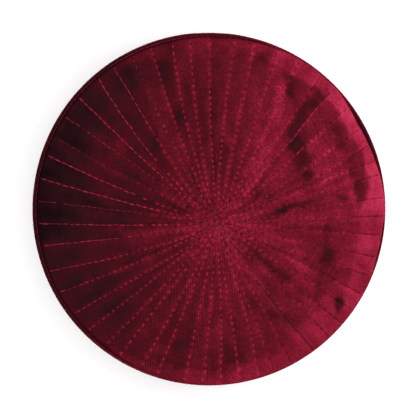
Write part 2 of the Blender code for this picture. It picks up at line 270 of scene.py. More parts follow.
# Marks in the pile, broad ones first, in shares of the crown's radius. A higher edge number is a harder
# border. The borders wander by seeded noise of these reaches and strengths.
MARK_WANDERS = (
    (0.005, 0.0020),
    (0.011, 0.0020),
    (0.0024, 0.0012),
)
MARK_COLUMNS = ("x", "y", "turn_degrees", "length", "width", "edge", "lift")
MARKS = (
    (-0.80, 0.15, 90, 0.60, 0.30, 1, -0.06),
    (-1.00, 0.08, 90, 0.62, 0.20, 1, -0.11),
    (-0.35, 0.15, 90, 0.55, 0.28, 1, -0.045),
    (-0.60, 0.62, 45, 0.20, 0.30, 1, -0.08),
    (-0.33, 0.81, 0, 0.10, 0.09, 1, -0.10),
    (-0.55, -0.50, 0, 0.30, 0.22, 1, -0.05),
    (-0.47, 0.07, -12, 0.25, 0.07, 1, -0.06),
    (-0.14, 0.40, 60, 0.24, 0.12, 1, 0.05),
    (-0.56, 0.31, -60, 0.16, 0.12, 1, 0.15),
    (-0.53, 0.36, 60, 0.08, 0.06, 2, 0.08),
    (0.41, 0.63, 65, 0.18, 0.06, 2, 0.09),
    (0.27, 0.22, 60, 0.15, 0.06, 2, 0.11),
    (0.62, -0.69, -45, 0.12, 0.08, 2, 0.05),
    (0.34, -0.86, 20, 0.12, 0.05, 2, 0.06),
    (0.62, -0.20, 80, 0.30, 0.16, 1, -0.08),
    (0.05, -0.75, 0, 0.40, 0.20, 1, -0.05),
    (-0.04, 0.62, 88, 0.28, 0.08, 1, -0.14),
    (-0.01, 0.44, 0, 0.06, 0.06, 1, -0.08),
    (0.18, 0.25, 60, 0.12, 0.05, 1, -0.08),
    (-0.37, 0.32, 30, 0.08, 0.07, 1, -0.11),
    (0.46, 0.62, 70, 0.10, 0.04, 1, -0.07),
    (0.41, 0.02, 10, 0.08, 0.04, 1, -0.12),
    (0.70, 0.08, 20, 0.12, 0.06, 1, -0.05),
    (0.57, 0.80, -40, 0.12, 0.08, 1, -0.16),
    (0.94, 0.26, 80, 0.10, 0.07, 1, -0.14),
    (0.98, 0.02, 90, 0.10, 0.05, 1, -0.06),
    (0.92, -0.42, 60, 0.20, 0.07, 1, -0.10),
    (0.66, -0.69, -45, 0.10, 0.10, 1, -0.08),
    (0.72, -0.22, 80, 0.14, 0.10, 1, -0.05),
    (0.36, -0.25, -35, 0.08, 0.04, 1, -0.10),
    (0.15, -0.60, 90, 0.30, 0.12, 1, -0.05),
    (-0.43, -0.83, 0, 0.06, 0.06, 1, -0.11),
    (-0.26, -0.91, 0, 0.08, 0.05, 1, -0.13),
    (0.03, -0.97, 0, 0.08, 0.05, 1, -0.08),
    (-0.64, 0.12, -18, 0.12, 0.06, 1, 0.09),
    (-0.60, -0.16, 8, 0.22, 0.035, 1, 0.08),
    (-0.93, -0.20, 80, 0.10, 0.05, 1, 0.06),
    (0.02, -0.03, 0, 0.20, 0.16, 1, 0.06),
    (0.51, -0.06, 0, 0.10, 0.03, 1, 0.14),
    (0.855, 0.11, 85, 0.07, 0.028, 1, 0.12),
    (0.67, 0.64, 40, 0.06, 0.04, 1, 0.12),
    (0.27, -0.44, -55, 0.12, 0.05, 1, 0.06),
    (0.19, -0.31, -50, 0.08, 0.035, 1, 0.08),
    (0.33, 0.84, 0, 0.05, 0.05, 2, 0.10),
    (0.28, 0.69, 80, 0.10, 0.04, 2, 0.08),
    (0.33, 0.41, -15, 0.14, 0.06, 2, 0.09),
    (0.24, 0.07, 0, 0.04, 0.04, 2, 0.11),
    (0.70, -0.07, 2, 0.22, 0.035, 1, 0.09),
    (0.53, -0.30, -50, 0.09, 0.04, 2, 0.10),
    (0.15, -0.42, 85, 0.14, 0.04, 1, 0.07),
    (0.14, -0.94, 25, 0.08, 0.03, 2, 0.10),
    (-0.28, 0.90, 0, 0.06, 0.05, 2, 0.10),
    (-0.76, 0.58, 55, 0.14, 0.10, 1, 0.04),
    (-0.88, -0.41, 60, 0.06, 0.05, 1, 0.09),
    (-0.10, -0.66, 80, 0.08, 0.05, 1, 0.06),
    (-0.45, 0.73, -68, 0.14, 0.035, 1, -0.11),
    (-0.12, 0.66, 88, 0.12, 0.03, 1, -0.10),
    (-0.30, 0.32, -60, 0.14, 0.035, 1, -0.10),
    (0.09, 0.34, 78, 0.16, 0.03, 1, -0.09),
    (-0.47, 0.16, -35, 0.12, 0.04, 1, -0.09),
    (-0.68, -0.51, 45, 0.09, 0.07, 1, -0.12),
    (-0.42, -0.83, -28, 0.20, 0.05, 1, -0.07),
    (0.78, -0.48, -30, 0.08, 0.03, 1, -0.09),
    (0.90, -0.33, -60, 0.06, 0.03, 1, -0.12),
    (-0.46, -0.39, 30, 0.07, 0.03, 1, -0.09),
    (-0.03, -0.87, 0, 0.08, 0.03, 1, -0.08),
    (0.36, 0.66, 80, 0.08, 0.03, 1, -0.08),
    (0.87, 0.40, -65, 0.10, 0.03, 1, -0.10),
    (0.59, 0.62, 52, 0.18, 0.045, 1, -0.15),
    (0.49, 0.45, 65, 0.12, 0.04, 1, -0.13),
    (0.59, 0.12, 0, 0.05, 0.04, 1, -0.09),
    (-0.76, 0.46, 10, 0.10, 0.05, 1, -0.05),
    (-0.74, 0.30, 0, 0.06, 0.05, 1, -0.05),
    (-0.08, 0.15, 107, 0.12, 0.025, 1, -0.13),
    (-0.21, 0.14, -35, 0.08, 0.02, 1, 0.09),
    (-0.11, -0.01, -5, 0.07, 0.025, 1, -0.17),
    (0.02, 0.24, 80, 0.10, 0.04, 1, -0.06),
    (0.18, 0.20, 60, 0.10, 0.03, 1, -0.08),
    (0.00, -0.58, 90, 0.10, 0.04, 1, -0.07),
    (0.08, -0.82, 0, 0.05, 0.05, 1, -0.07),
    (-0.14, -0.38, 70, 0.06, 0.03, 1, -0.09),
    (0.31, -0.43, -50, 0.08, 0.025, 1, 0.12),
    (0.28, -0.53, -55, 0.10, 0.03, 1, -0.14),
    (0.36, -0.36, -45, 0.08, 0.025, 1, -0.12),
    (0.59, -0.77, -40, 0.08, 0.05, 1, 0.10),
    (0.81, 0.27, 80, 0.06, 0.04, 1, -0.13),
    (0.85, -0.41, 60, 0.06, 0.04, 1, 0.10),
    (0.98, -0.20, 90, 0.05, 0.03, 1, -0.12),
    (0.77, 0.57, 50, 0.06, 0.04, 1, 0.09),
    (0.61, 0.29, 80, 0.08, 0.04, 1, 0.08),
    (0.61, 0.69, 50, 0.05, 0.03, 1, 0.08),
    (0.35, 0.09, 15, 0.16, 0.03, 1, -0.07),
    (0.07, 0.05, 60, 0.05, 0.03, 1, -0.09),
    (0.32, 0.49, 55, 0.08, 0.03, 1, -0.09),
    (0.29, 0.35, 30, 0.05, 0.04, 1, 0.08),
    (0.05, 0.65, 88, 0.10, 0.03, 1, 0.08),
    (0.00, 0.45, 88, 0.08, 0.04, 1, -0.08),
    (-0.16, -0.23, 30, 0.10, 0.04, 1, -0.08),
    (0.05, -0.33, 90, 0.06, 0.04, 1, -0.07),
    (0.19, -0.60, 88, 0.10, 0.03, 1, 0.07),
    (0.72, -0.23, -10, 0.16, 0.04, 1, -0.08),
    (-0.57, -0.24, 5, 0.10, 0.04, 1, -0.07),
    (-0.46, -0.11, 0, 0.10, 0.02, 1, -0.08),
    (-0.62, 0.10, -15, 0.10, 0.03, 1, 0.07),
    (-0.55, 0.70, 45, 0.13, 0.07, 1, -0.06),
    (0.28, 0.60, 85, 0.08, 0.03, 1, 0.08),
    (0.88, 0.33, 70, 0.06, 0.03, 1, 0.10),
    (0.93, 0.15, 85, 0.05, 0.03, 1, 0.12),
    (0.85, -0.03, 85, 0.06, 0.025, 1, 0.07),
    (0.42, 0.80, 0, 0.05, 0.03, 1, 0.08),
    (0.15, 0.97, -5, 0.10, 0.04, 1, 0.08),
    (-0.25, -0.36, 80, 0.08, 0.04, 1, 0.06),
    (0.80, 0.55, 60, 0.05, 0.03, 1, -0.08),
    (0.06, 0.22, 0, 0.18, 0.10, 1, -0.03),
    (-0.12, -0.24, 0, 0.14, 0.10, 1, -0.035),
    (0.25, -0.20, -30, 0.05, 0.03, 1, -0.07),
    (-0.78, 0.335, -25, 0.10, 0.03, 1, -0.05),
    (0.12, -0.97, 5, 0.12, 0.03, 1, -0.06),
    (0.55, 0.46, 80, 0.04, 0.025, 1, -0.07),
    (-0.47, 0.80, 28, 0.12, 0.05, 1, -0.08),
    (-0.70, 0.58, 45, 0.15, 0.08, 1, -0.04),
    (0.48, 0.74, -77, 0.11, 0.036, 1, -0.22),
    (0.48, 0.69, -80, 0.04, 0.024, 1.4, -0.12),
    (0.30, 0.87, 20, 0.06, 0.05, 1.4, -0.13),
    (0.75, 0.46, -60, 0.08, 0.05, 1.4, -0.19),
    (0.78, 0.38, -10, 0.06, 0.035, 1.4, -0.14),
    (0.57, 0.28, 80, 0.08, 0.05, 1, -0.13),
    (0.58, 0.20, 0, 0.025, 0.02, 1.4, -0.18),
    (0.78, 0.065, 20, 0.024, 0.018, 1.4, -0.19),
    (0.29, 0.08, 60, 0.05, 0.03, 1.4, -0.13),
    (0.56, 0.035, 17, 0.07, 0.02, 1, -0.12),
    (0.69, -0.30, -15, 0.07, 0.05, 1.4, -0.20),
    (0.69, -0.16, 85, 0.09, 0.02, 1, -0.10),
    (0.64, -0.48, 85, 0.06, 0.025, 1.4, -0.16),
    (0.76, -0.555, 85, 0.05, 0.022, 3, -0.30),
    (0.28, -0.27, -35, 0.10, 0.03, 1, -0.04),
    (0.31, -0.30, -38, 0.08, 0.03, 1.4, -0.12),
    (0.44, -0.39, -45, 0.05, 0.03, 1.4, -0.17),
    (0.53, -0.51, -40, 0.05, 0.03, 1.4, -0.16),
    (0.39, -0.63, 0, 0.06, 0.04, 1.4, -0.12),
    (0.15, -0.84, 0, 0.06, 0.05, 1, -0.09),
    (-0.19, -0.80, 0, 0.06, 0.06, 1, -0.10),
    (-0.53, -0.63, 20, 0.12, 0.09, 1, -0.09),
    (-0.18, 0.54, 75, 0.08, 0.035, 1, -0.12),
    (-0.315, 0.41, -70, 0.06, 0.022, 1.4, -0.16),
    (-0.22, -0.08, 3, 0.16, 0.018, 1, -0.09),
    (0.35, 0.08, 0, 0.03, 0.025, 1.4, -0.14),
    (0.43, 0.00, 19, 0.10, 0.016, 1, -0.21),
    (0.69, -0.41, -30, 0.05, 0.04, 1.4, -0.15),
    (-0.50, 0.53, 0, 0.04, 0.03, 1, -0.10),
)

# Pile pressed within a land, between two directions from the crossing
PRESSED_COLUMNS = ("from_degrees", "to_degrees", "from_share", "to_share", "from_lift", "to_lift")
PRESSED = (
    (48.9, 54.6, 0.63, 0.95, -0.20, 0.00),
    (41.0, 48.9, 0.59, 0.67, -0.17, -0.20),
    (33.1, 41.0, 0.56, 0.66, -0.06, -0.16),
    (26.8, 33.1, 0.57, 0.63, -0.20, -0.08),
    (20.7, 26.8, 0.86, 0.940, -0.15, -0.10),
    (16.0, 20.7, 0.85, 0.938, -0.18, -0.15),
    (8.2, 16.0, 0.86, 0.915, -0.18, -0.22),
    (1.7, 8.2, 0.25, 0.50, 0.0, -0.09),
    (180.9, 188.2, 0.12, 0.55, 0.12, 0.09),
    (188.2, 196.7, 0.12, 0.42, 0.10, 0.04),
    (270.9, 277.5, 0.875, 0.94, -0.10, -0.14),
    (340.1, 347.0, 0.68, 0.76, -0.10, -0.06),
)
PRESSED_SOFTNESS = 0.04

# The outer zone of the crown, where the pile catches the light on the right and loses it on the left
OUTER_COLUMNS = ("degrees", "from_share", "lift")
OUTER = (
    (3, 0.870, 0.10),
    (8, 0.910, 0.20),
    (14, 0.925, 0.20),
    (18, 0.940, 0.21),
    (25, 0.945, 0.20),
    (37, 0.930, 0.21),
    (52, 0.930, 0.23),
    (63, 0.930, 0.20),
    (75, 0.940, 0.08),
    (90, 0.950, 0.00),
    (110, 0.900, 0.00),
    (228, 0.900, 0.00),
    (250, 0.930, 0.12),
    (275, 0.930, 0.11),
    (292, 0.910, 0.09),
    (305, 0.860, 0.07),
    (318, 0.860, 0.06),
    (327, 0.930, 0.08),
    (338, 0.905, 0.10),
    (350, 0.880, 0.09),
)
OUTER_SOFTNESS = 0.02
OUTER_STEP = 0.007
BORDER_WANDER = 0.4  # share of the marks' wander by which the pressed and outer borders wander
BORDER_NOISE = 0.0012
BORDER_REACH = 0.011

# Welt and the row of stitches at its foot
WELT_RIDGE = 0.0008
WELT_FOOT = 0.0008
WELT_GAP = 0.0005
WELT_UNEVEN = 0.00015
WELT_UNEVEN_REACH = 0.006
WELT_ROLL_SINK = 0.0003  # how far the rolled-out shoulder presses the welt down
# A painted highlight along the welt's outer crest
WELT_LIP_INSET = 0.0004
WELT_LIP_WIDTH = 0.0003
WELT_LIP_HIGHLIGHT = 0.18
WELT_CLOUD_NAP = 0.06
WELT_CLOUD_REACH = 0.005
EDGE_ROW_RADIUS = TOP_RADIUS - 2 * WELT_RIDGE - 0.0001
# Stitches of the rows that go round: their length as a share of BAND_STITCH, their width and thickness
EDGE_STITCHES = {"size": (1.25, 0.00042, 0.0005), "shown": (0.8, 1.15), "height": 0.0016}
# The welt's tone round the cap: partly crushed pile and partly painted shade, darker on the left, away from
# the key lamp, and in the wedge where the shoulder leaves it bare
WELT_NAP_AND_SHADE_COLUMNS = ("degrees", "nap_and_light")
WELT_NAPS_AND_SHADE = (
    (0, 0.60),
    (9, 0.24),
    (28, 0.20),
    (38, 0.30),
    (50, 0.46),
    (66, 0.38),
    (78, 0.30),
    (112, 0.26),
    (124, 0.16),
    (180, 0.14),
    (215, 0.20),
    (240, 0.40),
    (270, 0.48),
    (310, 0.46),
    (338, 0.34),
    (352, 0.14),
)

EDGE_TONE_COLUMNS = ("degrees", "tone")
EDGE_TONES = (
    (60, 0.0),
    (76, 0.1),
    (84, 0.6),
    (104, 0.9),
    (122, 1.0),
    (126, 0.5),
    (134, 0.9),
    (150, 0.7),
    (170, 0.5),
    (184, 0.8),
    (200, 0.6),
    (216, 0.4),
    (240, 0.1),
)

# Side band
BAND_WALL = 0.0032
BAND_BULGE = 0.0005
BAND_EDGE_ROUND = 0.0008
BAND_TOP_ROUND = 0.0013
SEAT_TURN_THICKNESS = 0.002
HEM_TURN_HEIGHT = 0.012
HEM_TURN_THICKNESS = 0.0008
HEM_TURN_STEP = 0.0006  # height in which the inside steps out to the folded hem
HEM_ROW_HEIGHT = 0.010
HEM_ROW_DEPTH = 0.0004
HEM_ROW_WIDTH = 0.002
HEM_STITCHES = {"size": (0.78, 0.0006, 0.00045), "shown": (0.5, 0.9), "lift": 0.0001}
BACK_SEAM_DEPTH = 0.0006
BACK_SEAM_WIDTH = 0.0009
BAND_STITCH = 0.003
BAND_NAP = 0.42
# Painted light: the band is painted brighter on its +X side, towards the key lamp
BAND_PAINTED_LIGHT_EAST = 0.16
BAND_CLOUDS = ((0.010, 0.35, 0.10), (0.005, 1.0, 0.08))  # reach, share of it upwards, change of the nap
BAND_ROW_NAP = 0.10
BAND_ROW_WIDTH = 0.0012
BAND_SEAM_NAP = 0.12
BAND_RIBS = 0.5

# Meshes
LAND_COLUMNS = 6  # a land is the cloth between two neighbouring rows
COLUMN_DRAW = 0.6
FLAT_RINGS = 58
SHOULDER_RINGS = 9
UNDERSIDE_SHARES = (0.84, 0.6, 0.3, 0.02)
WELT_COLUMNS = 240
WELT_STEPS = 8
BAND_COLUMNS = 160
BAND_RINGS = 28
BAND_INSIDE_RINGS = 5
JOIN_DISTANCE = 1e-6
ON_VELVET = 0.75  # a point's "velvet" number is 1 on the velvet and 0 on the backing
ON_BACKING = 0.4

# Cloth simulation of the padded velvet. What is sewn, or lies at the rim or the crossing, is held.
SETTLE_FRAMES = 20
PADDING = {
    "quality": 8,
    "mass": 0.3,
    "tension_stiffness": 15,
    "compression_stiffness": 15,
    "shear_stiffness": 5,
    "bending_stiffness": 0.5,
    "use_pressure": True,
}
CROWN_PADDING = {"pressure": 4.0, "slack": 0.015, "most_move": 0.0012}
BAND_PADDING = {"pressure": 2.0, "slack": 0.012, "most_move": 0.0007}
HELD_RIM = 0.985
HELD_MIDDLE = 0.05
HELD_COLUMN = 0.1  # share of a column within which a point counts as on its row
HELD_HEM = HEM_ROW_HEIGHT + 0.002
HELD_TOP = BAND_TOP - 0.012
HELD_SEAM = 0.001

# Thread of the crown. On plain velvet a stitch has this look, and each zone of the pile changes it.
STITCH_TONE = 0.60
STITCH_TONE_SPREAD = 0.25
STITCH_WIDTH = 0.00094
STITCH_WIDTH_SPREAD = 0.2
STITCH_THICKNESS = 0.00045
STITCH_SHARES = (0.50, 0.78)  # of the distance between two needle holes
BURIED_CHANCE = 0.16
BURIED_SINK = 0.0004
HIDDEN_SINK = 0.0002
HIDDEN_LOSS = 0.85
# The thread's darker tone on the right and at the outer edge is painted shade, where it lies sunk in its
# furrow
ZONE_CHANGES = {
    "tone": {"left": 0.05, "right": -0.35, "outer": -0.25, "crowd": -0.20},
    "width": {"left": -0.00008, "right": -0.00020, "crowd": -0.00045},
    "length": {"left": 0.44, "crowd": -0.1},
    "buried": {"left": -0.16, "crowd": 0.6},
    "sink": {"right": 0.0002, "outer": 0.00025},
}
BARE_LENGTH = 1.2
BARE_WIDTH = 0.0007
BARE_TONE = 0.55
SHORTEST_GAP = 0.3  # share of a stitch below which two needle holes hold no thread between them
BOBBIN_LENGTH = 0.8
BOBBIN_TONES = (0.3, 0.8)
END_SHADE = 0.75  # how far a stitch's ends are darkened with painted shade, where they go down into the pile

# Finishes. The pile's colours, from pressed flat to upright, are chosen. Widths beside a row are in
# millimetres, as on the "rows" map.
NAP_STOPS = (
    (0.00, "0c0507"),
    (0.10, "14080b"),
    (0.21, "240d11"),
    (0.35, "3d0c14"),
    (0.47, "520f1a"),
    (0.60, "691222"),
    (0.74, "831b32"),
    (0.87, "9b2540"),
    (1.00, "b2314f"),
)
TUFT_SIZE = 0.0014
TUFT_NAP = 0.36
GRAIN_SIZE = 0.0007
GRAIN_NAP = 0.34
RIB_WIDTH = 0.00125
RIB_LENGTH = 0.008
RIB_NAP = 0.14
COARSE_RATE = 1.7  # how fast the grain comes up as the pile stands up
COARSE_START = 0.04
PARTED_CALM = 0.4
WAVE_PERIOD = math.pi / 10  # of a wave texture at scale 1
# The glow is a painted highlight beside a row, strongest between its needle holes
GLOW_WIDTH = 0.85
GLOW_NAP = 0.18
GLOW_LEVEL = 0.66
GLOW_SWING = 0.26  # how much weaker the glow is at the needle holes, and stronger between them
# Painted shade in the needle holes of a row
HOLE_WIDTH = 0.42
HOLE_SHARPNESS = 6.0
HOLE_SHADE = -0.11
# A dark line along a row, partly the parted pile and partly painted shade in its furrow
LINE_WIDTH = 0.36
LINE_PARTING_AND_SHADE = -0.22
UNEVEN_SIZE = 0.0035
UNEVEN_NOISE = (0.25, 0.75)  # the range of noise over which the glow goes from none to its full gain
UNEVEN_GAIN = 2.0
# Painted shade in the needle holes where the rows crowd together at the crossing
NEEDLE_SPACING = 0.0017
NEEDLE_DOT = (0.12, 0.38)  # where a dot's edge starts and ends, in shares of that spacing
NEEDLE_HOLE_SHADE = -0.22
ROUGH_NAP = 0.6
BACKING_THREAD = 0.0009
SLUB_SIZE = 0.004

# Floor and light
FLOOR_SIDE = 8.0
FLOOR_GAP = 0.0003
SURROUND_LIGHT = 1.45
KEY_PLACE = (0.34, 0.06, 0.20)
KEY_AIM = (0.0, 0.0, 0.085)
KEY_SIDE = 0.22
KEY_WATTS = 0.5

FULL_TURN = 2 * math.pi


def smooth_step(value, start=0.0, width=1.0):
    """From 0 at the start to 1 past this width, with soft ends."""
    part = np.clip((value - start) / width, 0.0, 1.0)
    return part * part * (3.0 - 2.0 * part)


def past(value, border, softness):
    """0 before a border and 1 past it, with a soft change of this width."""
    return smooth_step(value, border - softness / 2, softness)


def bell(distance, width):
    return np.exp(-((distance / width) ** 2))


def named(table, columns):
    """A table's rows, each number under its column's name."""
    return [dict(zip(columns, row)) for row in table]


def charted(table, columns, degrees, name):
    """A chart's named column at these directions, running smoothly round the full circle."""
    chart = dict(zip(columns, zip(*table)))
    return np.interp(degrees, chart["degrees"], chart[name], period=360.0)


def turn_of(points):
    """Directions of points from the cap's axis."""
    return np.arctan2(points[..., 1], points[..., 0])


def fan_reach(turn):
    """Distance from the crossing to the crown's edge."""
    along = CROSSING[0] * np.cos(turn) + CROSSING[1] * np.sin(turn)
    return np.sqrt(along**2 + CROWN_RADIUS**2 - CROSSING @ CROSSING) - along


def spot(degrees, share, lean_mm):
    """Plan point a share of the way out from the crossing, moved to the left by the lean."""
    turn = math.radians(degrees)
    out = share * fan_reach(turn)
    lean = lean_mm / 1000
    across = np.array((-math.sin(turn), math.cos(turn)))
    return CROSSING + out * np.array((math.cos(turn), math.sin(turn))) + lean * across


def row_knots(row):
    """The four plan points that a row runs through, from its first end to its last."""
    to_degrees = row["to_degrees"]
    to_lean = row["to_lean"]
    if to_degrees is None:
        to_degrees = row["from_degrees"] + 180
        to_lean = row["from_lean"]
    return np.array((
        spot(row["from_degrees"], 1.0, 0.0),
        spot(row["from_degrees"], LEAN_SHARE, row["from_lean"]),
        spot(to_degrees, LEAN_SHARE, to_lean),
        spot(to_degrees, 1.0, 0.0),
    ))


def row_paces():
    """Each row's stitch length, and the part of a stitch by which it starts past the crossing."""
    draws = random.Random(QUILT_SEED)
    return [(draws.uniform(SHORTEST_STITCH, LONGEST_STITCH), draws.random()) for _ in ROWS]


QUILT_ROWS = named(ROWS, ROW_COLUMNS)
PACES = row_paces()


def half_rows():
    """Every half of a row, sorted by direction: direction, knots towards its end, stitch length and phase."""
    halves = []
    for row, (pitch, phase) in zip(QUILT_ROWS, PACES):
        knots = row_knots(row)
        halves.append((math.radians(row["from_degrees"]), knots[::-1], pitch, (1.0 - phase) % 1.0))
        if row["to_degrees"] is not None:
            halves.append((math.radians(row["to_degrees"]), knots, pitch, phase))
    halves.sort(key=lambda half: half[0])
    return halves


HALF_TURNS, HALF_KNOTS, HALF_PITCHES, HALF_PHASES = (np.array(column) for column in zip(*half_rows()))
LANDS = len(HALF_TURNS)
LAND_TURNS = (np.roll(HALF_TURNS, -1) - HALF_TURNS) % FULL_TURN


def along_row(knots, step):
    """Points of the smooth line through a row's knots; step is -1 at one end and 1 at the other."""
    total = 0.0
    for index, knot in enumerate(ROW_KNOTS):
        others = [other for other in ROW_KNOTS if other != knot]
        weight = np.prod([(step - other) / (knot - other) for other in others], axis=0)
        total = total + np.asarray(weight)[..., None] * knots[..., index, :]
    return total


def along_half(half, share):
    """Distance out along half a row, and how many stitches it has there."""
    out = share * fan_reach(HALF_TURNS[half])
    return out, out / HALF_PITCHES[half] - HALF_PHASES[half]


def land_at(place):
    """The land that holds a place in the fan."""
    return np.floor(place).astype(int) % LANDS


def on_ray(turn, share):
    heading = np.stack((np.cos(turn), np.sin(turn)), axis=-1)
    return CROSSING + (share * fan_reach(turn))[..., None] * heading


def sway(half, share):
    """How far half a row strays from its straight ray."""
    return along_row(HALF_KNOTS[half], share) - on_ray(HALF_TURNS[half], share)


def on_crown(share, place):
    """Plan positions of points at a share of the way out and at a place in the fan, counted in lands."""
    low = land_at(place)
    part = place - np.floor(place)
    swayed = sway(low, share) * (1.0 - part)[:, None] + sway((low + 1) % LANDS, share) * part[:, None]
    turn = HALF_TURNS[low] + part * LAND_TURNS[low]
    return on_ray(turn, share) + smooth_step(share, 0.0, SWAY_FADE)[:, None] * swayed


def shoulder_part(share):
    """How far across the shoulder a share of the way out lies, from 0 at the flat top to 1 at the edge."""
    return np.clip((share - FLAT_SHARE) / (1.0 - FLAT_SHARE), 0.0, 1.0)


def shoulder_fall(share):
    return 1.0 - np.sqrt(1.0 - shoulder_part(share) ** 2)


def crown_height(share):
    """Height of the crown's upper side before it is quilted."""
    return CROWN_TOP - CROWN_RISE * share**2 - SHOULDER_DROP * shoulder_fall(share)


def roll_at(plan):
    """How far the shoulder rolls out over the welt, from 0 to 1."""
    return charted(ROLLS, ROLL_COLUMNS, np.degrees(turn_of(plan)), "roll")


def pushed(plan, push):
    """Plan points moved outwards with the shoulder."""
    distance = np.maximum(np.linalg.norm(plan, axis=-1), JOIN_DISTANCE)
    reach = SHOULDER_REACH + ROLL_REACH * roll_at(plan)
    return plan * (1.0 + push * reach / distance)[..., None]


def dent_sink(plan):
    """How far the crown sinks at the crossing and in its shallow hollows."""
    sink = CENTRE_DIP * bell(np.linalg.norm(plan - CROSSING, axis=1), CENTRE_RADIUS)
    x, y = plan.T / CROWN_RADIUS
    for dent in named(DENTS, DENT_COLUMNS):
        away = np.hypot(x - dent["x"], y - dent["y"])
        sink += dent["depth"] * CROWN_RISE * bell(away, dent["spread"])
    return sink


def turned(profile, layers, columns, closed):
    """A bmesh turned about Z from a profile of radii, heights and the values of its named layers."""
    shape = bmesh.new()
    held = [shape.verts.layers.float.new(name) for name in layers]
    points = []
    for radius, height, *values in profile:
        point = shape.verts.new((radius, 0.0, height))
        for layer, value in zip(held, values):
            point[layer] = value
        points.append(point)
    for start, end in zip(points, points[1:]):
        shape.edges.new((start, end))
    if closed:
        shape.edges.new((points[-1], points[0]))
    bmesh.ops.spin(
        shape,
        geom=shape.verts[:] + shape.edges[:],
        cent=(0.0, 0.0, 0.0),
        axis=(0.0, 0.0, 1.0),
        angle=FULL_TURN,
        steps=columns,
        use_merge=True,
    )
    bmesh.ops.remove_doubles(shape, verts=shape.verts, dist=JOIN_DISTANCE)
    bmesh.ops.recalc_face_normals(shape, faces=shape.faces)
    return shape


def placed(name, data):
    """A new object in the scene, made of this mesh, light or camera."""
    thing = bpy.data.objects.new(name, data)
    bpy.context.scene.collection.objects.link(thing)
    return thing


def as_object(name, shape):
    mesh = bpy.data.meshes.new(name)
    shape.to_mesh(mesh)
    shape.free()
    mesh.shade_smooth()
    return placed(name, mesh)


def vectors_of(items, name):
    """A vector for each of a mesh's points, as the rows of an array."""
    flat = np.empty(len(items) * 3)
    items.foreach_get(name, flat)
    return flat.reshape(-1, 3)


def points_of(mesh):
    return vectors_of(mesh.vertices, "co")


def put_points(mesh, points):
    mesh.vertices.foreach_set("co", points.ravel())
    mesh.update()


def numbers_of(mesh, name):
    values = np.empty(len(mesh.vertices))
    mesh.attributes[name].data.foreach_get("value", values)
    return values


def put_numbers(mesh, name, values):
    held = mesh.attributes.get(name) or mesh.attributes.new(name, "FLOAT", "POINT")
    held.data.foreach_set("value", np.asarray(values, dtype=np.float32))


def corners_of(mesh):
    """For each corner of each face: the index of its point and of its face."""
    points = np.empty(len(mesh.loops), dtype=np.int32)
    mesh.loops.foreach_get("vertex_index", points)
    counts = np.empty(len(mesh.polygons), dtype=np.int32)
    mesh.polygons.foreach_get("loop_total", counts)
    return points, np.repeat(np.arange(len(counts)), counts)


def face_means(mesh, values):
    points, faces = corners_of(mesh)
    return np.bincount(faces, weights=values[points]) / np.bincount(faces)


def face_turns(mesh, turns):
    """Each face's middle direction, from the directions of its points."""
    return np.arctan2(face_means(mesh, np.sin(turns)), face_means(mesh, np.cos(turns))) % FULL_TURN


def put_map(mesh, name, across, along):
    layer = mesh.uv_layers.new(name=name)
    layer.uv.foreach_set("vector", np.column_stack((across, along)).astype(np.float32).ravel())


def settle(thing, sewn, pressure, slack, most_move):
    """Lets the padding swell between its sewn points in a short cloth simulation, and keeps the result."""
    mesh = thing.data
    start = points_of(mesh)
    group = thing.vertex_groups.new(name="sewn")
    group.add([int(index) for index in np.flatnonzero(sewn)], 1.0, "REPLACE")
    modifier = thing.modifiers.new("settle", "CLOTH")
    cloth = modifier.settings
    for name, value in PADDING.items():
        setattr(cloth, name, value)
    cloth.vertex_group_mass = group.name
    cloth.uniform_pressure_force = pressure
    cloth.shrink_min = -slack
    cloth.effector_weights.gravity = 0.0
    modifier.point_cache.frame_end = SETTLE_FRAMES
    for number in range(1, SETTLE_FRAMES + 1):
        bpy.context.scene.frame_set(number)
    graph = bpy.context.evaluated_depsgraph_get()
    move = points_of(thing.evaluated_get(graph).data) - start
    bpy.context.scene.frame_set(1)
    thing.modifiers.remove(modifier)
    thing.vertex_groups.remove(group)
    length = np.maximum(np.linalg.norm(move, axis=1, keepdims=True), JOIN_DISTANCE)
    put_points(mesh, start + move * np.minimum(1.0, most_move / length))


def subdivided(thing):
    """Replaces the mesh by one that is subdivided once, and smooth."""
    modifier = thing.modifiers.new("finer", "SUBSURF")
    modifier.levels = 1
    modifier.render_levels = 1
    graph = bpy.context.evaluated_depsgraph_get()
    finer = bpy.data.meshes.new_from_object(thing.evaluated_get(graph))
    thing.modifiers.remove(modifier)
    coarse = thing.data
    thing.data = finer
    bpy.data.meshes.remove(coarse)
    finer.name = thing.name


def crown_profile():
    """The crown's section, from near the middle of its top round the rim to near the middle of its underside.

    A point's push and lift are how far it follows the shoulder outwards and upwards where it rolls.
    """
    flat = FLAT_SHARE * CROWN_RADIUS
    radii = [flat * ring / FLAT_RINGS for ring in range(1, FLAT_RINGS)]
    for ring in range(SHOULDER_RINGS + 1):
        radii.append(flat + SHOULDER_WIDTH * math.sin(math.pi / 2 * ring / SHOULDER_RINGS))
    points = []
    for radius in radii:
        share = radius / CROWN_RADIUS
        part = float(shoulder_part(share))
        points.append((radius, float(crown_height(share)), radius, 1.0, part, float(shoulder_fall(share))))
    for step in named(RIM_STEPS, RIM_STEP_COLUMNS):
        points.append((CROWN_RADIUS, RIM_TOP - step["drop"], CROWN_RADIUS, 1.0, step["push"], 1.0))
    under = [(CROWN_RADIUS, SEAT_HEIGHT + RIM_ROUND)]
    under += [(radius, SEAT_HEIGHT) for radius in (CROWN_RADIUS - RIM_ROUND, RIM_INSIDE)]
    for share in UNDERSIDE_SHARES:
        under.append((share * CROWN_RADIUS, CROWN_TOP - CROWN_THICKNESS - CROWN_RISE * share**2))
    return points + [(radius, height, radius, 0.0, 0.0, 0.0) for radius, height in under]


